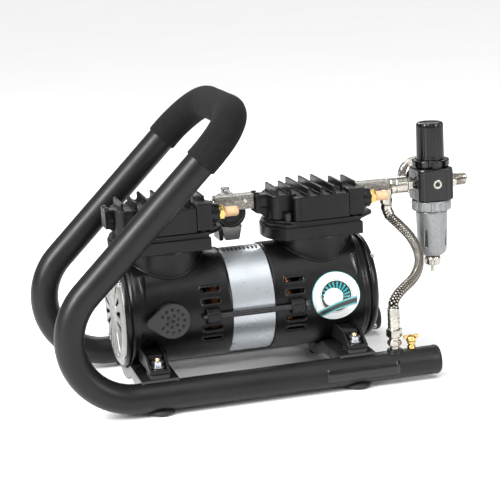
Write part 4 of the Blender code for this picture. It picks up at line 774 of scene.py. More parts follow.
def make_barrel(side_name):
    """Drum shell: a cylinder grid whose lines follow the vents' edges, with the quads inside the vents left out."""
    side = SIGN[side_name]
    start, end = BAND_HALF + 0.3, DRUM_LENGTH
    vent_from, vent_to = WAIST - 9, WAIST + 9
    along = np.unique(np.concatenate([start + np.array([0, 0.25, 0.9]), np.linspace(start + 0.9, vent_from, 6),
        np.linspace(vent_from, vent_to, 9), np.linspace(vent_to, end - 6, 26),
        [end - 6, end - 5.4, end - 4.8, end]]).round(4))
    drop = np.interp(along - start, [0, 0.25, 0.9], [-1, -0.3, 0])
    drop = np.where(along > end - 5.5, -0.5, drop)
    half_vent = math.degrees(2.1 / SHELL_R)
    edges = np.concatenate([VENTS - half_vent, VENTS + half_vent]) % 360
    steps = np.arange(0, 360, 2.5)
    steps = steps[np.min(np.abs(steps[:, None] - edges[None, :]), axis=1) > 0.9]
    angle = np.radians(np.unique(np.concatenate([steps, edges])))
    radius = SHELL_R + drop
    grid = round_motor(MOTOR_X + side * along[:, None], radius[:, None], angle)
    mid_along = (along[:-1] + along[1:]) / 2
    after = np.append(angle[1:], angle[0] + TAU)
    mid_angle = np.degrees((angle + after) / 2) % 360
    in_length = (mid_along > vent_from) & (mid_along < vent_to)
    in_turn = (np.abs((mid_angle[:, None] - VENTS + 180) % 360 - 180) < half_vent).any(1)
    keep = ~(in_length[:, None] & in_turn[None, :])
    from_bore = np.hypot((MOTOR_X + side * mid_along - HEADS[side_name])[:, None],
        SHELL_R * np.cos(np.radians(mid_angle))[None, :])
    keep &= ~((from_bore < 31) & (np.sin(np.radians(mid_angle)) > 0)[None, :])
    barrel = surface(f"{side_name}_barrel", grid, caps=False, keep=keep, centre=(MOTOR_X + side * 70, 0, MOTOR_Z),
        sharp=40)
    thicken(barrel, 3)
    casting(barrel, f"{side_name}_end_shell")
    casting(turned(f"{side_name}_motor_web", corners(5.6, side * 52, 49, side * 48), 0.6, "X", SHAFT, 64))
    make_neck(side_name)
    make_tie_lugs(side_name)
    make_gusset(side_name)


def make_neck(side_name):
    """Cylinder neck: a round wall from the block down to the drum, each foot point on the drum's own surface."""
    x = HEADS[side_name]
    angle = TAU * np.arange(96) / 96
    rows = []
    for share in np.linspace(0, 1, 14):
        radius = 37 + 1.6 * (1 - share) ** 4
        foot = MOTOR_Z + np.sqrt(np.clip(SHELL_R ** 2 - (radius * np.sin(angle)) ** 2, 0, None)) - 1.5
        top = 139.5
        rows.append(np.stack([x + radius * np.cos(angle), radius * np.sin(angle), foot + (top - foot) * share], -1))
    neck = surface(f"{side_name}_neck", np.array(rows), caps=False, centre=(x, 0, MOTOR_Z), sharp=50)
    casting(thicken(neck, 5))
    ring_r = 38.2
    line = np.stack([x + ring_r * np.cos(angle), ring_r * np.sin(angle),
        MOTOR_Z + np.sqrt(SHELL_R ** 2 - (ring_r * np.sin(angle)) ** 2) + 0.2], -1)
    around = TAU * np.arange(12) / 12
    out = np.stack([np.cos(angle), np.sin(angle), np.zeros_like(angle)], -1)
    bead = carried(line, np.full((96, 12), 1.35), around, out, np.tile([0, 0, 1.0], (96, 1)))
    casting(surface(f"{side_name}_neck_bead", bead, round_u=True, caps=False, sharp=60))


def make_tie_lugs(side_name):
    """The lugs that the tie bolts pass through: a six-sided outline pushed along the shaft."""
    x = VENT_X[side_name]
    for word, side in SIDES.items():
        outline = rounded([(side * 49, MOTOR_Z - 8.8), (side * 57, MOTOR_Z - 7.6),
            (side * (TIE_Y + 4.6), MOTOR_Z - 4.5), (side * (TIE_Y + 4.6), MOTOR_Z + 3.5), (side * 57, MOTOR_Z + 7.4),
            (side * 49, MOTOR_Z + 8.8)], 1.2)
        casting(slab(f"{side_name}_{word}_tie_lug", outline, x - 6.8, x + 6.8, "X", bevel=1.2))


def make_gusset(side_name):
    """Wedge rib laid on the drum near its outer end: its section shrinks to nothing as it runs down the drum."""
    x = MOTOR_X + SIGN[side_name] * 106
    share = np.linspace(0, 1, 16)[:, None]
    turn = np.radians(17 + 31 * share)
    wide = 0.6 + 4.2 * share
    lift = 0.5 + 2.3 * share ** 0.7
    across = wide * np.array([-1, -1, -0.55, -0.3, 0.3, 0.55, 1, 1])[None, :]
    rise = np.broadcast_to(lift * np.array([0, 0, 0.75, 1, 1, 0.75, 0, 0])[None, :], across.shape).copy()
    rise[:, [0, -1]] = -1.5
    for word, side in SIDES.items():
        grid = round_motor(x + across, SHELL_R + rise, turn) * (1, side, 1)
        casting(surface(f"{side_name}_{word}_gusset", grid, sharp=25))


def make_band():
    """The stator's silver band: a thin rim turned about the shaft, with a row of small dark blocks on its top,
    painted shade standing for its vent slots.
    """
    half = BAND_HALF
    radius = high("stator_band")[2] - MOTOR_Z
    put(turned("silver_motor_band", corners(radius - 2, -half, radius, half), 0.5, "X", SHAFT, 128), "silver_band",
        "band", "stator_band")
    # Vent slots drawn as thin dark blocks on the band: painted shade where the open slots would be.
    for number in range(9):
        x, z = MOTOR_X - half + 4.6 + 4.1 * number, MOTOR_Z + radius * math.sin(math.radians(96))
        put(block(f"band_vent_shade_{number + 1}", (x - 1.1, -9.5, z - 0.6), (x + 1.1, -2, z + 0.35), 0.2, 0.8),
            "silver_band", "dark")
    put(block("band_seam", (MOTOR_X - half + 1, 18, MOTOR_Z - radius * 0.945),
        (MOTOR_X + half - 1, 20, MOTOR_Z - radius * 0.925), 0.3, 0.4), "silver_band", "band")


def make_windings():
    """Two end windings: a fat ring each side of the core, lumpy with the coils that make it."""
    for side_name, side in SIGN.items():
        angle = TAU * np.arange(144) / 144
        around = TAU * np.arange(28) / 28
        lump = 1 + 0.10 * np.cos(12 * angle)[:, None]
        across = 38 + 6.2 * lump * np.cos(around)[None, :]
        place = MOTOR_X + side * (32.5 + 10.5 * np.sin(around)[None, :] * lump)
        grid = round_motor(place, across, angle[:, None])
        put(surface(f"{side_name}_end_winding", grid, round_u=True, caps=False, sharp=60), "copper", "copper",
            *(["stator_windings"] if side < 0 else []))


def make_grille(name, side_name, finish, slot, node):
    """Fan grille: a dished disc on polar lines, its radial slots left out, given a wall's thickness."""
    side = SIGN[side_name]
    far = DRUM_LENGTH + 9.3
    radii = np.array([3, 8, 15, 18, 22, 27, 31, 34, 37, 40, 43, 44.4, 46, 47.6, 49.2, 50.6, 51.7, 52.5, 52.9, 53, 53])
    level = np.array([0.7, 0.6, 0.45, 0, 0, 0, 0, 0, 0, 0, 0, 0.1, 0.35, 0.8, 1.5, 2.4, 3.5, 4.8, 6.2, 7.6, 9.0])
    step = TAU / 18
    angle = step * (np.arange(18)[:, None] + np.array([0, 0.14, 0.28, 0.36, 0.5, 0.64, 0.72, 0.86])).ravel()
    share = ((angle + np.append(angle[1:], TAU)) / 2 % step) / step
    grid = round_motor(MOTOR_X + side * (far - level)[:, None], radii[:, None], angle)
    mid = (radii[:-1] + radii[1:]) / 2
    open_turn = (share > 0.28) & (share < 0.72)
    open_reach = (mid > 18) & (mid < 43)
    keep = ~(open_reach[:, None] & open_turn[None, :])
    disc = surface(name, grid, caps=False, keep=keep, centre=(MOTOR_X + side * 60, 0, MOTOR_Z), sharp=40)
    thicken(disc, 1.8)
    put(disc, slot, finish, node)
    disc.data.materials.append(FINISH["cast"])
    across = np.empty(len(disc.data.polygons) * 3)
    disc.data.polygons.foreach_get("center", across)
    across = across.reshape(-1, 3) / MM
    from_axis = np.hypot(across[:, 1], across[:, 2] - MOTOR_Z)
    disc.data.polygons.foreach_set("material_index", (from_axis > 51.2).astype(np.int32))
    put(turned(f"{name}_hub", [(0.2, side * (far - 2.4)), (6, side * (far - 2.4)), (6, side * (far - 0.3)),
        (0.2, side * (far - 0.1))], 0.6, "X", SHAFT, 32), slot, finish)
    for number in range(4):
        turn = TAU * (number + 0.5) / 4
        spot = (MOTOR_X, 50.3 * math.cos(turn), MOTOR_Z + 50.3 * math.sin(turn))
        put(turned(f"{name}_screw_{number + 1}", [(0.2, side * (far - 4.5)), (2.6, side * (far - 4.5)),
            (2.6, side * (far - 1.4)), (1.5, side * (far - 0.5)), (0.2, side * (far - 0.4))], 0.4, "X", spot, 20),
            "zinc", "zinc")


def make_tie_rods():
    """The bolts across the band: a turned rod, its radius a thread at one end, and a six-sided head."""
    lug = WAIST + 7
    for word, side in SIDES.items():
        place = (MOTOR_X, side * TIE_Y, MOTOR_Z)
        profile = [(0.3, -lug - 3), (2.6, -lug - 3)]
        profile += [(2.9, h) for h in np.linspace(-lug - 2.4, -lug + 10, 60)]
        profile += [(2.9, h) for h in np.linspace(-lug + 10.2, lug + 0.4, 8)] + [(0.3, lug + 0.4)]
        ripple = thread(1.0, 0.4)
        put(lathe(f"{word}_tie_bolt", profile, "X", place, 24, lambda r, h, a: np.where(h < -lug + 9, ripple(r, h, a),
            0) * (r > 1), 50), "steel", "screw", *(["tie_rod"] if side < 0 else []))
        put(nut(f"{word}_tie_head", 9.6, lug + 0.3, lug + 4.4, "X", place, 0.3), "steel", "screw")


def make_filter():
    """Intake filter: a round boss on the left drum and a teardrop cover dimpled all over its round part."""
    lo, hi = box("filter_cover")
    big = (hi[2] - lo[2]) / 2
    x, z = hi[0] - big, (hi[2] + lo[2]) / 2
    tip, tip_r = x - lo[0], 5.6
    front, back = lo[1], hi[1]
    casting(turned("filter_boss", [(0.3, back + 0.1), (big - 1.6, back + 0.1), (big - 0.9, back + 1.2),
        (big - 0.9, back + 2.2), (big - 2.0, back + 2.8), (big - 2.0, back + 3.6), (big - 0.9, back + 4.2),
        (big - 0.9, -47), (0.3, -47)], 0.4, "Y", (x, 0, z), 72))
    reach = tip - tip_r
    lean = math.acos((big - tip_r) / reach)
    angle = TAU * np.arange(200) / 200
    bearing = (angle + math.pi) % TAU - math.pi
    spread = math.pi - np.abs(bearing)
    edge = np.where(spread < lean, big / np.cos(np.clip(lean - spread, 0, 1.4)), big)
    cap = reach * np.cos(spread) + np.sqrt(np.clip(tip_r ** 2 - (reach * np.sin(spread)) ** 2, 0, None))
    meet = math.atan2(tip_r * math.sin(lean), reach + tip_r * math.cos(lean))
    edge = np.where(spread < meet, cap, edge)
    dimples = [(0, 0)] + [(5.6, TAU * k / 6 + 0.3) for k in range(6)]
    dimples += [(11.2, TAU * k / 12) for k in range(12) if k != 6]
    rows = []
    for share in np.linspace(0.004, 1, 78):
        px, pz = share * (edge - 1.0) * np.cos(angle), share * (edge - 1.0) * np.sin(angle)
        dip = np.zeros(200)
        for out, turn in dimples:
            near = np.hypot(px - out * math.cos(turn), pz - out * math.sin(turn)) / 1.25
            dip = np.maximum(dip, np.clip(1.25 - near, 0, 1) ** 0.5)
        rows.append(np.stack([x + px, front + 0.25 * share ** 8 + 1.6 * dip, z + pz], -1))
    for inset, level in ((0.35, 0.45), (0.08, 0.8), (0.0, 1.3), (0.0, 3.0), (0.5, 3.4)):
        wide = edge - inset
        rows.append(np.stack([x + wide * np.cos(angle), np.full(200, front + level), z + wide * np.sin(angle)], -1))
    put(surface("filter_face", np.array(rows), sharp=45), "dark_plastic", "plastic", "filter_cover")


def make_badge():
    """Round badge laid on the right drum: polar lines wrapped round the barrel, with a raised rolled rim."""
    x, z, size = 60, 83, 24.5
    radii = np.linspace(0.01, 1, 110) * size
    angle = TAU * np.arange(240) / 240
    lift = np.interp(radii / size, [0, 0.93, 0.97, 1.0], [0.55, 0.55, 0.8, 0.1])
    px = radii[:, None] * np.cos(angle)[None, :]
    pz = radii[:, None] * np.sin(angle)[None, :]
    base = math.asin((z - MOTOR_Z) / SHELL_R)
    turn = base + pz / SHELL_R
    grid = round_motor(x + px, SHELL_R + lift[:, None], turn) * (1, -1, 1)
    badge = surface("round_badge", grid, caps=True, sharp=60)
    place = np.empty(len(badge.data.vertices) * 3)
    badge.data.vertices.foreach_get("co", place)
    place = place.reshape(-1, 3) / MM
    v = SHELL_R * (np.arcsin(np.clip((place[:, 2] - MOTOR_Z) / (SHELL_R + 0.6), -1, 1)) - base) / size
    u = (place[:, 0] - x) / size
    turn = np.arctan2(v + 0.05, u)
    reach = np.hypot(u, v)
    rays = (np.cos(22 * turn) > 0.1) & (reach < 0.58) & (v > -0.1)
    oval = ((u + 0.12) / 0.40) ** 2 + ((v + 0.02) / 0.36) ** 2 < 1
    ribbon = np.clip((v + 0.42 - 0.30 * u + 0.10 * u ** 2) / 0.36 + 0.5, 0, 1) * (np.abs(u) < 0.86)
    patterns = {"reach": reach, "rays": rays, "shape": oval, "ribbon": ribbon}
    for name, values in patterns.items():
        badge.data.attributes.new(name, "FLOAT", "POINT").data.foreach_set("value", values.astype(np.float32))
    put(badge, "silver_band", "badge")


def make_label():
    """Plain dark film on the near skid's front."""
    angle = np.radians(np.linspace(-22, 30, 24))
    x = np.linspace(34, 107, 20)
    radius = TUBE_R + 0.12
    grid = np.stack(np.broadcast_arrays(x[:, None], -TUBE_Y - radius * np.cos(angle),
        SKID_Z + radius * np.sin(angle)), -1)
    label = surface("plain_label", grid, round_v=False, caps=False, centre=(70, -TUBE_Y, SKID_Z))
    thicken(label, 0.15)
    put(label, "black_coat", "film")


# ------------------------------------------------------------ pump heads


def cap_screw(name, place, size, tall):
    """Socket head screw: knurled drum with a round recess, its radius falling to the recess wall and floor."""
    put(lathe(name, soft_profile([(0.2, 0), (size, 0), (size, tall), (0.56 * size, tall), (0.5 * size, tall - 1.8),
        (0.2, tall - 1.9)], 0.4), "Z", place, 36, lambda r, h, a: np.where(r > 0.9 * size, 0.05 * np.sin(24 * a), 0)),
        "steel", "screw")


def make_head(side_name):
    """Cylinder block with one round end, its lip, gasket and eight-sided valve flange, as pushed outlines."""
    x = HEADS[side_name]
    first = math.asin(36 / 52)
    arc = [(52 * math.cos(a), 52 * math.sin(a)) for a in np.linspace(math.pi - first, math.pi + first, 30)]
    outline = np.array([(41.5, 36)] + arc + [(41.5, -36)])
    casting(slab(f"{side_name}_cylinder_block", outline, 138.5, 151, "Z", (x, 0, 0), 1.1))
    casting(slab(f"{side_name}_block_lip", outline * 0.955, 150, 153, "Z", (x, 0, 0), 0.5))
    plate = rounded([(-26, -37.4), (39, -37.4), (58.6, -17.5), (58.6, 17.5), (39, 37.4), (-26, 37.4), (-45.8, 17.5),
        (-45.8, -17.5)], 6)
    casting(slab(f"{side_name}_valve_flange", plate, PLATE_LOW, PLATE_LOW + 3.2, "Z", (x, 0, 0), 0.9),
        f"{side_name}_valve_plate")
    put(slab(f"{side_name}_gasket", outline * 0.97, 152.6, PLATE_LOW + 0.3, "Z", (x, 0, 0), 0.2), "rubber", "rubber")
    make_cover(side_name, x)


def make_cover(side_name, x):
    """Head cover: two pushed outlines, a column each side, its screws, and seven fins on rounded feet."""
    ends = rounded([(-46, -15), (-39, -21), (39, -21), (46, -15), (46, 15), (39, 21), (-39, 21), (-46, 15)], 3)
    casting(slab(f"{side_name}_cover", ends, COVER_LOW - 0.2, COVER_TOP, "Z", (x, 0, 0), 1.2),
        f"{side_name}_head_cover")
    wide = rounded(corners(-21, -37.8, 28, 37.8), 1.4)
    casting(slab(f"{side_name}_cover_middle", wide, COVER_LOW, COVER_TOP - 0.5, "Z", (x, 0, 0), 1))
    for word, side in SIDES.items():
        casting(turned(f"{side_name}_{word}_column", [(0.2, COVER_LOW), (5.6, COVER_LOW), (5.4, COVER_TOP - 1.2),
            (0.2, COVER_TOP - 1.2)], 0.9, "Z", (x - 22, side * 31.5, 0), 32))
        for number, dx, dy in ((1, -31, 26), (3, 35, 30)):
            cap_screw(f"{side_name}_{word}_head_screw_{number}", (x + dx, side * dy, PLATE_LOW + 3.1), 3.9, 7.5)
        cap_screw(f"{side_name}_{word}_flange_screw", (x + 51, side * 7, PLATE_LOW + 3.1), 3, 3.4)
    for number in range(7):
        offset = (number - 3) * 13.1
        half = 37.5 if abs(number - 3) < 1.5 else 20
        fin_outline = rounded(corners(-half, COVER_TOP - 3, half, FIN_TOP - 0.1), 1.6)
        casting(slab(f"{side_name}_fin_{number + 1}", fin_outline, x + offset - 1.25, x + offset + 1.25, "X",
            bevel=0.55))
        foot_outline = rounded([(-half, COVER_TOP - 1.5), (half, COVER_TOP - 1.5), (half - 0.4, COVER_TOP + 1.5),
            (-half + 0.4, COVER_TOP + 1.5)], 0.8)
        casting(slab(f"{side_name}_fin_foot_{number + 1}", foot_outline, x + offset - 2.1, x + offset + 2.1, "X",
            bevel=1.4))
    make_ports(side_name, x)


def make_ports(side_name, x):
    """Inlet tower with its round port face and silencer, and the outlet's eared flange on the other end."""
    tower = rounded(corners(27, -36.8, 45, -19.5), 4.5)
    casting(slab(f"{side_name}_inlet_tower", tower, COVER_LOW + 1, COVER_LOW + 27.3, "Z", (x, 0, 0), 1.2))
    y, z = middle(f"{side_name}_silencer")[1:]
    start = low(f"{side_name}_silencer")[0]
    casting(turned(f"{side_name}_inlet_face", [(0.3, -9), (8.6, -9), (9.6, -5.5), (9.6, -0.9), (8.9, -0.2),
        (0.3, -0.2)], 0.5, "X", (start, y, z), 48))
    put(nut(f"{side_name}_silencer_hex", 13, 0.0, 5.6, "X", (start, y, z), 0.25), "brass", "brass",
        f"{side_name}_silencer")
    put(turned(f"{side_name}_silencer_body", [(0.3, 5), (4.9, 5), (4.7, 18.2), (3.6, 19.9), (0.3, 19.9)], 0.5, "X",
        (start, y, z), 40, lambda r, h, a: 0.05 * np.sin(23 * a + h * 5.2) * (r > 3)), "brass", "sinter")
    left = x - (54.8 if side_name == "left" else 58.6)
    turn = np.linspace(0, math.pi, 16)
    for word, side in SIDES.items():
        middle_y = side * 5.6
        ear = np.vstack([np.stack([middle_y + 5.4 * np.cos(turn), LINE_Z + 3.2 + 5.2 * np.sin(turn)], -1),
            (middle_y - 5.4, LINE_Z - 12), (middle_y + 5.4, LINE_Z - 12)])
        casting(slab(f"{side_name}_{word}_port_ear", ear, left, left + 4.5, "X", bevel=0.8))
        if side_name == "left":
            put(turned(f"{side_name}_{word}_ear_screw", [(0.2, left - 0.1), (1.9, left - 0.1), (2.3, left + 0.6),
                (0.2, left + 0.6)], 0.2, "X", (0, side * 5.6, LINE_Z + 3.4), 24), "cast_black", "dark")
    boss = rounded(corners(-8, -8, 8, 6), 3)
    casting(slab(f"{side_name}_port_boss", boss, left + 3, left + 14, "X", AIR_LINE, 0.8))
    wedge = rounded([(left + 0.5, LINE_Z - 3), (left + 0.5, LINE_Z - 11), (left + 13, COVER_LOW + 0.5),
        (left + 15, LINE_Z)], 1, 3)
    casting(slab(f"{side_name}_port_wedge", wedge, -7, 7, "Y", bevel=1))


# ------------------------------------------------------------ air line


def make_air_line():
    """The square bars, round nipples, nuts and swivel that join the heads to the regulator."""
    lo, hi = box("cross_manifold")
    section = rounded(corners(-7.4, -7.4, 7.4, 7.4), 2.6, 2)
    put(slab("cross_bar", section, lo[0] + 8, hi[0], "X", AIR_LINE, 1), "cast_zinc", "bar", "cross_manifold")
    put(turned("cross_bar_nipple", [(0.3, lo[0]), (5, lo[0]), (5, lo[0] + 2), (4.2, lo[0] + 2.6), (4.2, lo[0] + 7),
        (6.4, lo[0] + 8.4), (0.3, lo[0] + 8.4)], 0.4, "X", AIR_LINE, 40), "cast_zinc", "nickel")
    put(turned("cross_bar_plug", [(0.2, -7.8), (1.7, -7.8), (2.2, -7), (0.2, -7)], 0.2, "Y",
        (hi[0] - 9, 0, LINE_Z + 1), 20), "cast_zinc", "nickel")
    lo, hi = box("outlet_manifold")
    put(slab("outlet_bar", section, lo[0], hi[0], "X", AIR_LINE, 1), "cast_zinc", "bar", "outlet_manifold")
    put(turned("hose_elbow", [(0.3, lo[2]), (5.2, lo[2]), (5.7, lo[2] + 1), (5.7, lo[2] + 9), (6.6, lo[2] + 10.5),
        (6.6, lo[2] + 16), (0.3, lo[2] + 17)], 0.7, "Z", HOSE_TOP, 40), "cast_zinc", "nickel")
    put(nut("hose_top_nut", 11, lo[2] + 1, lo[2] + 7, "Z", HOSE_TOP, 0.2), "cast_zinc", "nickel")
    lo, hi = box("swivel_union")
    union_end = lo[0] + 19.4
    plated(turned("union_sleeve", [(0.3, lo[0]), (7.6, lo[0]), (8.6, lo[0] + 1.6), (8.6, lo[0] + 6),
        (8.2, lo[0] + 6.4), (8.2, lo[0] + 7), (8.6, lo[0] + 7.4), (8.6, union_end - 1), (7.8, union_end),
        (0.3, union_end)], 0.4, "X", AIR_LINE, 64), "swivel_union")
    plated(nut("union_nut", 12.4, union_end - 0.5, hi[0] - 1.6, "X", AIR_LINE, 0.1))
    plated(turned("union_collar", corners(0.3, hi[0] - 2.6, 4.8, hi[0] + 0.2), 0.3, "X", AIR_LINE, 32))


HOSE_ROUTE = np.array([(130.0, -10.0, 158.7), (130.0, -10.0, 157.0), (130.0, -10.0, 155.0), (133.0, -13.0, 147.0),
    (140.0, -20.0, 138.5), (147.0, -29.0, 128.5), (150.0, -39.0, 118.0), (148.5, -49.0, 108.5), (142.0, -59.0, 100.0),
    (133.0, -68.0, 94.5), (123.0, -75.0, 90.5), (114.0, -80.5, 86.0), (108.3, -83.6, 80.5), (106.8, -84.5, 77.5),
    (106.8, -84.5, 76.0), (106.8, -84.5, 74.4)])


def make_hose():
    """Braided hose: two sets of strands climb it in opposite turns; where they cross, one rides over the other."""
    even, path = evenly(catmull(HOSE_ROUTE, 40), 760)
    angle = TAU * np.arange(88) / 88
    strands, pitch = 6, 17
    lead = strands * (angle[None, :] / TAU + even[:, None] / pitch)
    follow = strands * (angle[None, :] / TAU - even[:, None] / pitch)
    one, two = np.abs(np.sin(math.pi * lead)), np.abs(np.sin(math.pi * follow))
    over = (np.floor(lead) + np.floor(follow)) % 2
    crest = (one * two) ** 0.8 * np.where(over > 0.5, 1.0, 0.8)
    radius = 4.4 + 0.8 * crest
    grid = carried(path, radius, angle, *frames_along(path, (0, 1, 0)))
    hose = surface("braided_hose", grid, sharp=60)
    # crest also sets the braid's colour: the valleys and the strand passing under are darker, painted shade.
    hose.data.attributes.new("crest", "FLOAT", "POINT").data.foreach_set("value", crest.ravel().astype(np.float32))
    put(hose, "braid", "braid", "air_hose")
    plated(tube("hose_top_ferrule", path[:70], 5.6, 40, (0, 1, 0),
        lambda s, a: 0.22 * np.clip(np.sin(s / 0.5), 0, 1) * (s > 4) + 0 * a))
    lo, hi = box("hose_fitting")
    x, y = (lo[0] + hi[0]) / 2, (lo[1] + hi[1]) / 2
    profile = [(0.3, lo[2]), (4.6, lo[2]), (4.6, lo[2] + 3), (6.2, lo[2] + 3.6), (6.2, lo[2] + 8.5),
        (4.9, lo[2] + 9.3), (4.9, lo[2] + 11.4), (6.6, lo[2] + 12), (6.6, lo[2] + 20), (5.6, lo[2] + 21.4),
        (5.9, lo[2] + 22.4), (5.9, lo[2] + 27), (5.5, lo[2] + 27.5), (5.9, lo[2] + 28), (5.9, lo[2] + 31),
        (5.5, lo[2] + 31.5), (5.9, lo[2] + 32), (5.9, hi[2] - 1), (5.2, hi[2]), (0.3, hi[2])]
    plated(turned("hose_lower_fitting", profile, 0.35, "Z", (x, y, 0), 48), "hose_fitting")
    plated(nut("hose_lower_nut", 13.6, lo[2] + 12, lo[2] + 20.4, "Z", (x, y, 0), 0.35))
    plated(nut("hose_adapter_hex", 12.2, lo[2] + 4, lo[2] + 8.2, "Z", (x, y, 0), 0.1))
    put(turned("hose_weld_boss", [(0.3, SKID_Z + 9), (8.6, SKID_Z + 11.4), (7.6, SKID_Z + 13.8),
        (7.4, SKID_Z + TUBE_R + 1.5), (0.3, SKID_Z + TUBE_R + 1.5)], 0.5, "Z", (x, y, 0), 48,
        lambda r, h, a: np.where(r > 8, 0.12 * np.sin(17 * a), 0)), "black_coat", "coat")


def make_drain():
    """The tank's drain: a turned body, and a knob with a flat wing that turns on it."""
    lo, hi = box("drain_valve")
    x, y = (lo[0] + hi[0]) / 2, (lo[1] + hi[1]) / 2
    body = turned("drain_body", [(0.3, lo[2]), (4.1, lo[2]), (4.1, lo[2] + 2.4), (3.1, lo[2] + 3), (3.1, lo[2] + 4.4),
        (4.1, lo[2] + 5), (4.1, hi[2]), (0.3, hi[2])], 0.3, "Z", (x, y, 0), 36)
    put(body, "brass", "brass", "drain_valve")
    lo, hi = box("drain_knob")
    put(turned("drain_turn", [(0.3, lo[2]), (4.6, lo[2]), (5.1, lo[2] + 0.6), (5.1, lo[2] + 3.2), (4.2, lo[2] + 4.8),
        (0.3, lo[2] + 5)], 0.4, "Z", (x, y, 0), 40, lambda r, h, a: np.where(r > 4.9, 0.12 * np.sin(20 * a), 0)),
        "brass", "brass", "drain_knob", body="tank_drain")
    put(slab("drain_wing", rounded(corners(x - 7.6, lo[2] + 2.6, x + 7.6, hi[2]), 1.3), y - 1.1, y + 1.1, "Y",
        bevel=0.5), "brass", "brass", body="tank_drain")


def make_switch():
    """Round black cap on a grey clamp, behind the cross bar."""
    x, z = middle("pressure_switch")[0], 158
    y = 30
    put(turned("switch_cap", [(0.3, 1.2), (5, 1.2), (5.4, 0.6), (9.6, 0.6), (10, 1.2), (11.6, 1.2), (12, 0.1),
        (14.2, 0.1), (14.8, 1), (14.8, 36), (0.3, 36)], 0.35, "Y", (x, y, z), 80), "dark_plastic", "plastic",
        "pressure_switch")
    foot = rounded([(x - 12, z - 13), (x + 11, z - 13), (x + 7.5, z - 28), (x - 7, z - 28)], 1.4)
    put(slab("switch_clamp", foot, y + 3, y + 30, "Y", bevel=1), "dark_plastic", "grille")
    side_plate = rounded([(x - 14.4, z - 10), (x - 9.5, z - 13), (x - 9.5, z - 27), (x - 13.5, z - 27.5)], 0.8)
    put(slab("switch_bracket", side_plate, y + 1.5, y + 26, "Y", bevel=0.6), "dark_plastic", "cast")
    pipe_y = 53
    put(turned("switch_pipe", corners(0.3, 7.7, 3.9, pipe_y), 0.4, "Y", (x, 0, LINE_Z), 24), "dark_plastic", "steel")
    put(turned("switch_drop", corners(0.3, z, 4.9, LINE_Z + 4.9), 0.8, "Z", (x, pipe_y, 0), 28), "dark_plastic",
        "nickel")


# ------------------------------------------------------------ filter regulator


def make_regulator():
    """Filter regulator: an eight-sided block with round corner ribs, a notched ring and the bonnet tube."""
    centre = (REG_X, 0, 0)
    half = 18.4
    outline = rounded([(-half + 5, -half), (half - 5, -half), (half, -half + 5), (half, half - 5), (half - 5, half),
        (-half + 5, half), (-half, half - 5), (-half, -half + 5)], 1.6, 3)
    put(slab("regulator_block", outline, REG_LOW, REG_TOP, "Z", centre, 1.6), "gloss_black", "gloss", "reg_body")
    for number, (dx, dy) in enumerate(((-1, -1), (1, -1), (1, 1), (-1, 1))):
        for along, out, word in ((0.56, 0.97, "inner"), (0.86, 0.86, "outer")):
            place = (REG_X + dx * half * along, dy * half * out, 0)
            put(turned(f"regulator_{word}_rib_{number + 1}", corners(0.2, REG_LOW + 1.5, 1.5, REG_TOP - 2.2), 1.1,
                "Z", place, 20), "gloss_black", "gloss")
    for level, word in ((REG_LOW + 2.6, "low"), (REG_TOP - 11.6, "high")):
        pad = rounded(corners(-5.5, level, 5.5, level + 8), 1.6)
        put(slab(f"regulator_{word}_pad", pad, REG_X - half - 0.25, REG_X - half + 1, "X", bevel=0.5), "gloss_black",
            "gloss")
    plated(turned("regulator_plug", [(0.2, 1.2 - half), (2.1, 1.2 - half), (2.4, -half - 0.1), (4.4, -half - 0.15),
        (5.2, 0.8 - half), (5.2, 2.5 - half), (0.2, 2.5 - half)], 0.3, "Y", (REG_X, 0, LINE_Z), 36))

    def notch(r, h, a):
        gap = np.abs((a * 8 / TAU) % 1 - 0.5) < 0.12
        return np.where(gap & (r > 17), -2.6, 0)

    ring_low, ring_top = REG_TOP + 0.1, REG_TOP + 8
    put(turned("regulator_ring", [(12, ring_low), (17.6, ring_low), (17.9, ring_low + 1.2), (19, ring_low + 1.6),
        (19, ring_top - 1), (18.2, ring_top), (12, ring_top), (12, ring_low)], 0.4, "Z", centre, 160, notch,
        caps=False, sharp=28), "gloss_black", "gloss")
    put(turned("regulator_bonnet", [(10.2, REG_TOP - 1), (11.9, REG_TOP - 1), (11.9, REG_TOP + 28.5),
        (10.2, REG_TOP + 28.5), (10.2, REG_TOP - 1)], 0.3, "Z", centre, 48, caps=False), "gloss_black", "gloss")
    make_knob(centre)
    make_bowl(centre)


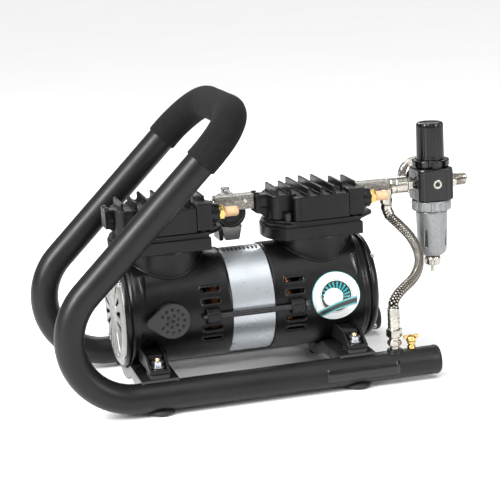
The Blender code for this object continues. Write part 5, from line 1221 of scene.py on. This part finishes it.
def make_knob(centre):
    """Fluted knob: shallow round flutes in six groups of three, on a wall that leans in slightly to a soft top."""
    lo, hi = box("reg_knob")
    wall, top = lo[2], hi[2]
    outer = (hi[0] - lo[0]) / 2

    def flutes(r, h, a):
        inside = (r > 11.5) & (h > wall + 2) & (h < top - 0.5)
        wave = -0.55 * np.clip(np.cos(18 * a), 0, 1) ** 1.5
        groups = np.clip(3 * np.cos(6 * a) + 1.6, 0, 1)
        return np.where(inside, wave * groups, 0)

    levels = np.linspace(wall + 2.2, top - 2.6, 14)
    profile = [(12.8, wall + 1), (12.8, wall), (outer, wall), (outer, wall + 1.9)]
    profile += [(outer - 0.35 * (h - wall) / (top - wall), h) for h in levels]
    profile += [(outer - 0.9, top - 1.0), (outer - 2.0, top - 0.2), (outer - 3.2, top), (outer - 4.4, top - 0.15),
        (outer - 4.9, top - 0.8), (0.2, top - 0.8), (0.2, top - 1.3), (12.4, top - 1.4), (12.8, wall + 1)]
    put(lathe("regulator_knob", profile, "Z", centre, 216, flutes, 30, caps=False), "gloss_black", "gloss",
        "reg_knob", body="knob")
    lo, hi = box("reg_screw")
    levels = np.linspace(lo[2] + 3.2, hi[2] - 6.2, 90)
    ripple = thread(1.25, 0.5)
    profile = [(0.3, lo[2]), (5.6, lo[2]), (5.6, lo[2] + 2.8)] + [(2.95, h) for h in levels]
    profile += [(5.7, hi[2] - 5.9), (5.7, hi[2] - 0.4), (5.2, hi[2]), (0.3, hi[2])]
    put(lathe("adjusting_screw", profile, "Z", centre, 28, lambda r, h, a: np.where((r > 2.9) & (r < 3),
        ripple(r, h, a), 0), 50), "steel", "steel", "reg_screw", body="adjuster")


def make_bowl(centre):
    """Bowl guard: its radius runs over a dome and a cone, and slots that narrow upwards are left open."""
    lo, hi = box("bowl_guard")
    top, bottom = hi[2], lo[2]
    collar_low = top - 10.3

    def knurl(r, h, a):
        rib = np.clip(np.cos(20 * a) * 2.2, -1, 1)
        return np.where((r > 18.6) & (h < top - 1.2), 0.42 * (rib - 1), 0)

    put(turned("guard_collar", [(15.2, top), (19.6, top), (20.0, top - 1.4), (20.0, collar_low + 1),
        (19, collar_low + 0.1), (15.2, collar_low - 0.4), (15.2, top)], 0.4, "Z", centre, 240, knurl, caps=False),
        "grey_metal", "guard", "bowl_guard")
    slot_low, slot_top = bottom + 11, bottom + 28
    levels = np.unique(np.concatenate([np.linspace(bottom + 8, slot_low, 4), np.linspace(slot_low, slot_top, 12),
        np.linspace(slot_top, collar_low + 0.4, 8)]).round(4))
    radius = np.interp(levels, [bottom + 8, collar_low], [14.8, 16.2])
    turns = np.linspace(0, math.pi / 2, 8)[:-1]
    z = np.concatenate([bottom + 8 * (1 - np.cos(turns)), levels])
    r = np.concatenate([6.6 + 8.2 * np.sin(turns), radius])
    r[0] = 6.0
    share = np.clip((z - slot_low) / (slot_top - slot_low), 0, 1)
    columns = []
    half_slot = (2.15 - 1.35 * share) / 15.3
    for base in TAU * (np.arange(4) + 0.5) / 4:
        columns += [(base - half_slot, True), (base + half_slot, True)]
        columns += [(base + filler + 0 * z, False) for filler in np.linspace(0.16, math.pi / 2 - 0.16, 12)]
    columns.sort(key=lambda column: column[0][len(z) // 2] % TAU)
    angle = np.stack([column[0] for column in columns], -1)
    across = r[:, None] * np.cos(angle), r[:, None] * np.sin(angle)
    grid = np.stack(np.broadcast_arrays(REG_X + across[0], across[1], z[:, None]), -1)
    edge = np.array([column[1] for column in columns])
    pair = edge & np.roll(edge, -1)
    mid = (z[:-1] + z[1:]) / 2
    keep = ~(((mid > slot_low) & (mid < slot_top))[:, None] & pair[None, :])
    guard = surface("guard_wall", grid, caps=False, keep=keep, centre=(REG_X, 0, (top + bottom) / 2), sharp=45)
    thicken(guard, 1.3)
    put(guard, "grey_metal", "guard")
    bowl_low, bowl_top = low("bowl")[2], high("bowl")[2]
    put(turned("clear_bowl", [(2.6, bowl_low), (8, bowl_low), (12.2, bowl_low + 4.5), (12.2, bowl_top),
        (10.9, bowl_top), (10.9, bowl_low + 5), (7.4, bowl_low + 1.3), (2.6, bowl_low + 1.3), (2.6, bowl_low)], 1.2,
        "Z", centre, 56, caps=False), "clear_bowl", "clear", "bowl")
    put(turned("filter_element", corners(0.3, 139, 6.8, 157), 0.6, "Z", centre, 40,
        lambda r, h, a: 0.15 * np.sin(30 * a) * (r > 6)), "clear_bowl", "porous")
    make_bowl_drain(centre, bottom)


def make_bowl_drain(centre, bottom):
    """Drain nut under the bowl: a turned profile, its widest part cut into steps by the sign of a cosine."""
    put(turned("drain_gasket", [(6.4, bottom - 0.1), (8.9, bottom - 0.1), (8.9, bottom + 1.6), (6.4, bottom + 1.6),
        (6.4, bottom - 0.1)], 0.5, "Z", centre, 48, caps=False), "rubber", "rubber")
    lo, hi = box("bowl_drain")
    base = lo[2] + 7

    def knurl(r, h, a):
        return np.where(r > 7.6, -0.35 * (np.cos(14 * a) > 0.2), 0)

    profile = [(0.2, lo[2]), (1.5, lo[2]), (2.0, lo[2] + 0.7), (1.6, lo[2] + 1.4), (2.0, lo[2] + 2.1),
        (1.6, lo[2] + 2.8), (1.8, lo[2] + 3.4), (1.7, base), (5.4, base + 0.1), (8.3, base + 2.2), (8.4, base + 7.6),
        (6.9, base + 10.3), (4.4, base + 10.5), (2.7, base + 11.4), (2.7, hi[2]), (0.2, hi[2])]
    put(turned("bowl_tap", profile, 0.4, "Z", centre, 112, knurl), "nickel", "nickel", "bowl_drain", body="bowl_tap")


def make_outlet():
    """Outlet: a six-sided shoulder and a turned pipe whose radius is a thread."""
    lo, hi = box("outlet_fitting")
    plated(nut("outlet_hex", 13.8, lo[0], lo[0] + 6, "X", AIR_LINE, 0.5), "outlet_fitting")
    levels = np.linspace(lo[0] + 7.4, hi[0] - 1.2, 110)
    ripple = thread(1.34, 0.55)
    profile = [(3.6, lo[0] + 4), (5.6, lo[0] + 4), (5.6, lo[0] + 7.2)]
    profile += [(6.4, h) for h in levels]
    profile += [(5.6, hi[0] - 0.5), (5.2, hi[0]), (3.6, hi[0]), (3.6, lo[0] + 4)]
    plated(lathe("outlet_thread", profile, "X", AIR_LINE, 40, lambda r, h, a: np.where(r > 6.3, ripple(r, h, a), 0),
        50, caps=False))


def make_gauge():
    """Pressure gauge on the back: a turned case with a bright rim, a white dial, marks, numbers and a lens."""
    lo, hi = box("gauge_case")
    place = (REG_X, 0, LINE_Z)
    stem, front = lo[1], hi[1]
    back = stem + 5
    plated(turned("gauge_body", [(0.3, stem), (4.9, stem), (4.9, back), (17.8, back + 0.1), (18.9, back + 1.4),
        (18.9, front - 6.6), (19.9, front - 6.2), (19.9, front - 0.8), (19.1, front), (17.6, front - 0.4),
        (17.2, front - 6.8), (0.3, front - 6.8)], 0.5, "Y", place, 96), "gauge_case")
    face_y = front - 6.7
    put(lathe("gauge_dial", corners(0.2, face_y, 17.1, face_y + 0.25), "Y", place, 64), "nickel", "dial")
    marks_verts, marks_faces = [], []
    for number in range(41):
        bearing = math.radians(225 - 270 * number / 40)
        long = number % 8 == 0
        inner, outer, half = (12.6 if long else 14.2), 15.8, (0.28 if long else 0.12)
        radial = np.array([-math.cos(bearing), 0, math.sin(bearing)])
        beside = np.array([math.sin(bearing), 0, math.cos(bearing)])
        start = len(marks_verts)
        for level in (face_y + 0.22, face_y + 0.34):
            for reach, sense in ((inner, -1), (inner, 1), (outer, 1), (outer, -1)):
                marks_verts.append(np.array([REG_X, level, LINE_Z]) + radial * reach + beside * half * sense)
        for face_index in ((0, 1, 2, 3), (7, 6, 5, 4), (0, 4, 5, 1), (1, 5, 6, 2), (2, 6, 7, 3), (3, 7, 4, 0)):
            marks_faces.append(tuple(start + corner for corner in face_index))
    marks = build("gauge_marks", marks_verts, marks_faces)
    shape = bmesh.new()
    shape.from_mesh(marks.data)
    bmesh.ops.recalc_face_normals(shape, faces=shape.faces)
    shape.to_mesh(marks.data)
    shape.free()
    put(marks, "nickel", "ink")
    for number in range(6):
        bearing = math.radians(225 - 270 * number / 5)
        make_number(str(number * 2), (REG_X - 9.6 * math.cos(bearing), face_y + 0.28,
            LINE_Z + 9.6 * math.sin(bearing)), number)
    put(turned("gauge_glass", [(0.2, front - 2.6), (17.3, front - 2.6), (17.3, front - 1.4), (10, front - 1.1),
        (0.2, front - 1.0)], 0.3, "Y", place, 64), "clear_bowl", "glass")


def make_number(text, place, number):
    """One dial number as a thin solid, facing +Y, its points placed in the mesh."""
    curve = bpy.data.curves.new(f"dial_number_{number}", "FONT")
    curve.body = text
    curve.size = 4.4 * MM
    curve.extrude = 0.06 * MM
    curve.align_x = "CENTER"
    curve.align_y = "CENTER"
    holder = bpy.data.objects.new("number_holder", curve)
    bpy.context.collection.objects.link(holder)
    bpy.context.view_layer.update()
    mesh = bpy.data.meshes.new_from_object(holder.evaluated_get(bpy.context.evaluated_depsgraph_get()))
    bpy.data.objects.remove(holder)
    x, y, z = np.array(place) * MM
    mesh.transform(Matrix(((-1, 0, 0, x), (0, 0, 1, y), (0, 1, 0, z), (0, 0, 0, 1))))
    shape = bmesh.new()
    shape.from_mesh(mesh)
    bmesh.ops.remove_doubles(shape, verts=shape.verts, dist=1e-7)
    bmesh.ops.recalc_face_normals(shape, faces=shape.faces)
    shape.to_mesh(mesh)
    shape.free()
    digit = bpy.data.objects.new(f"dial_number_{number + 1}", mesh)
    bpy.context.collection.objects.link(digit)
    put(digit, "nickel", "ink")


# ------------------------------------------------------------ nodes that stay as the frame has them


KEPT = {"crankshaft": "steel", "rotor": "core", "left_fan": "plastic", "right_fan": "plastic",
    "left_bearing": "steel", "right_bearing": "steel", "left_piston": "alloy", "right_piston": "alloy",
    "left_cylinder_sleeve": "alloy", "right_cylinder_sleeve": "alloy", "stator_core": "core", "gauge_pointer": "red"}


def finish_kept_nodes():
    """Gives each node that stays its finish."""
    for node, key in KEPT.items():
        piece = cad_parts[node]
        if not piece.material_slots:
            piece.data.materials.append(FINISH[key])
        for slot in piece.material_slots:
            slot.material = FINISH[key]


# ------------------------------------------------------------ stage


CAMERA_BEARING, CAMERA_RISE, CAMERA_ROLL = math.radians(14.67), math.radians(12.98), math.radians(2.99)
CAMERA_AIM = Vector((-0.0101, 0.0, 0.1257))
CAMERA_DISTANCE, CAMERA_LENS = 1.4469, 105.7
FLOOR = 14000


def make_camera():
    """The camera, looking at its aim from its bearing and rise, and rolled about its own line of sight."""
    a, e, r = CAMERA_BEARING, CAMERA_RISE, CAMERA_ROLL
    forward = Vector((math.sin(a) * math.cos(e), math.cos(a) * math.cos(e), -math.sin(e)))
    right = Vector((math.cos(a), -math.sin(a), 0))
    up = right.cross(forward)
    right, up = math.cos(r) * right - math.sin(r) * up, math.sin(r) * right + math.cos(r) * up
    data = bpy.data.cameras.new("camera")
    data.lens = CAMERA_LENS
    data.sensor_width = 36
    data.clip_end = 50
    camera = bpy.data.objects.new("camera", data)
    bpy.context.collection.objects.link(camera)
    turn = Matrix((right, up, -forward)).transposed().to_4x4()
    camera.matrix_world = Matrix.Translation(CAMERA_AIM - forward * CAMERA_DISTANCE) @ turn
    bpy.context.scene.camera = camera


def soft_light(name, place, aim, size, power, colour=(1, 1, 1)):
    """A rectangular lamp, turned towards its aim."""
    data = bpy.data.lights.new(name, "AREA")
    data.shape = "RECTANGLE"
    data.size, data.size_y = size
    data.energy = power
    data.color = colour
    lamp = bpy.data.objects.new(name, data)
    bpy.context.collection.objects.link(lamp)
    lamp.location = place
    lamp.rotation_euler = (Vector(aim) - Vector(place)).to_track_quat("-Z", "Y").to_euler()


def make_stage():
    """Pale floor, even white surroundings, a wide soft sun and three soft lamps."""
    floor = build("floor", [(-FLOOR, -FLOOR, -0.5), (FLOOR, -FLOOR, -0.5), (FLOOR, FLOOR, -0.5),
        (-FLOOR, FLOOR, -0.5)], [(0, 1, 2, 3)], centre=(0, 0, -1000))
    floor.data.materials.append(FINISH["floor"])
    world = bpy.data.worlds.new("studio")
    world.use_nodes = True
    shade = world.node_tree.nodes["Background"]
    shade.inputs["Color"].default_value = (1, 1, 1, 1)
    shade.inputs["Strength"].default_value = 0.32
    bpy.context.scene.world = world
    bpy.context.scene.view_settings.view_transform = "Standard"
    data = bpy.data.lights.new("wide_daylight", "SUN")
    data.energy = 2.65
    data.angle = 1.2
    lamp = bpy.data.objects.new("wide_daylight", data)
    bpy.context.collection.objects.link(lamp)
    lamp.rotation_euler = Vector((0.28, 0.35, -1)).to_track_quat("-Z", "Y").to_euler()
    soft_light("key_left", (-1.5, -0.7, 1.2), (-0.05, 0, 0.12), (0.35, 1.2), 62)
    soft_light("front_right", (1.1, -1.3, 0.8), (0.05, 0, 0.12), (0.25, 0.9), 14)
    soft_light("back_rim", (0.4, 1.4, 1.1), (0, 0, 0.15), (1.2, 0.3), 10)


def make_all():
    make_paints()
    make_metals()
    make_pale_finishes()
    make_badge_finish()
    make_camera()
    make_stage()
    make_tube_frame()
    make_foam()
    make_rails()
    make_mounts()
    for side_name in SIGN:
        make_barrel(side_name)
        make_head(side_name)
    make_band()
    make_windings()
    make_grille("left_fan_grille", "left", "grille", "aluminium", "left_grille")
    make_grille("right_fan_cover", "right", "cast", "cast_black", "right_end_cap")
    make_tie_rods()
    make_filter()
    make_badge()
    make_label()
    make_air_line()
    make_hose()
    make_drain()
    make_switch()
    make_regulator()
    make_outlet()
    make_gauge()
    finish_kept_nodes()


make_all()
bpy.context.view_layer.update()
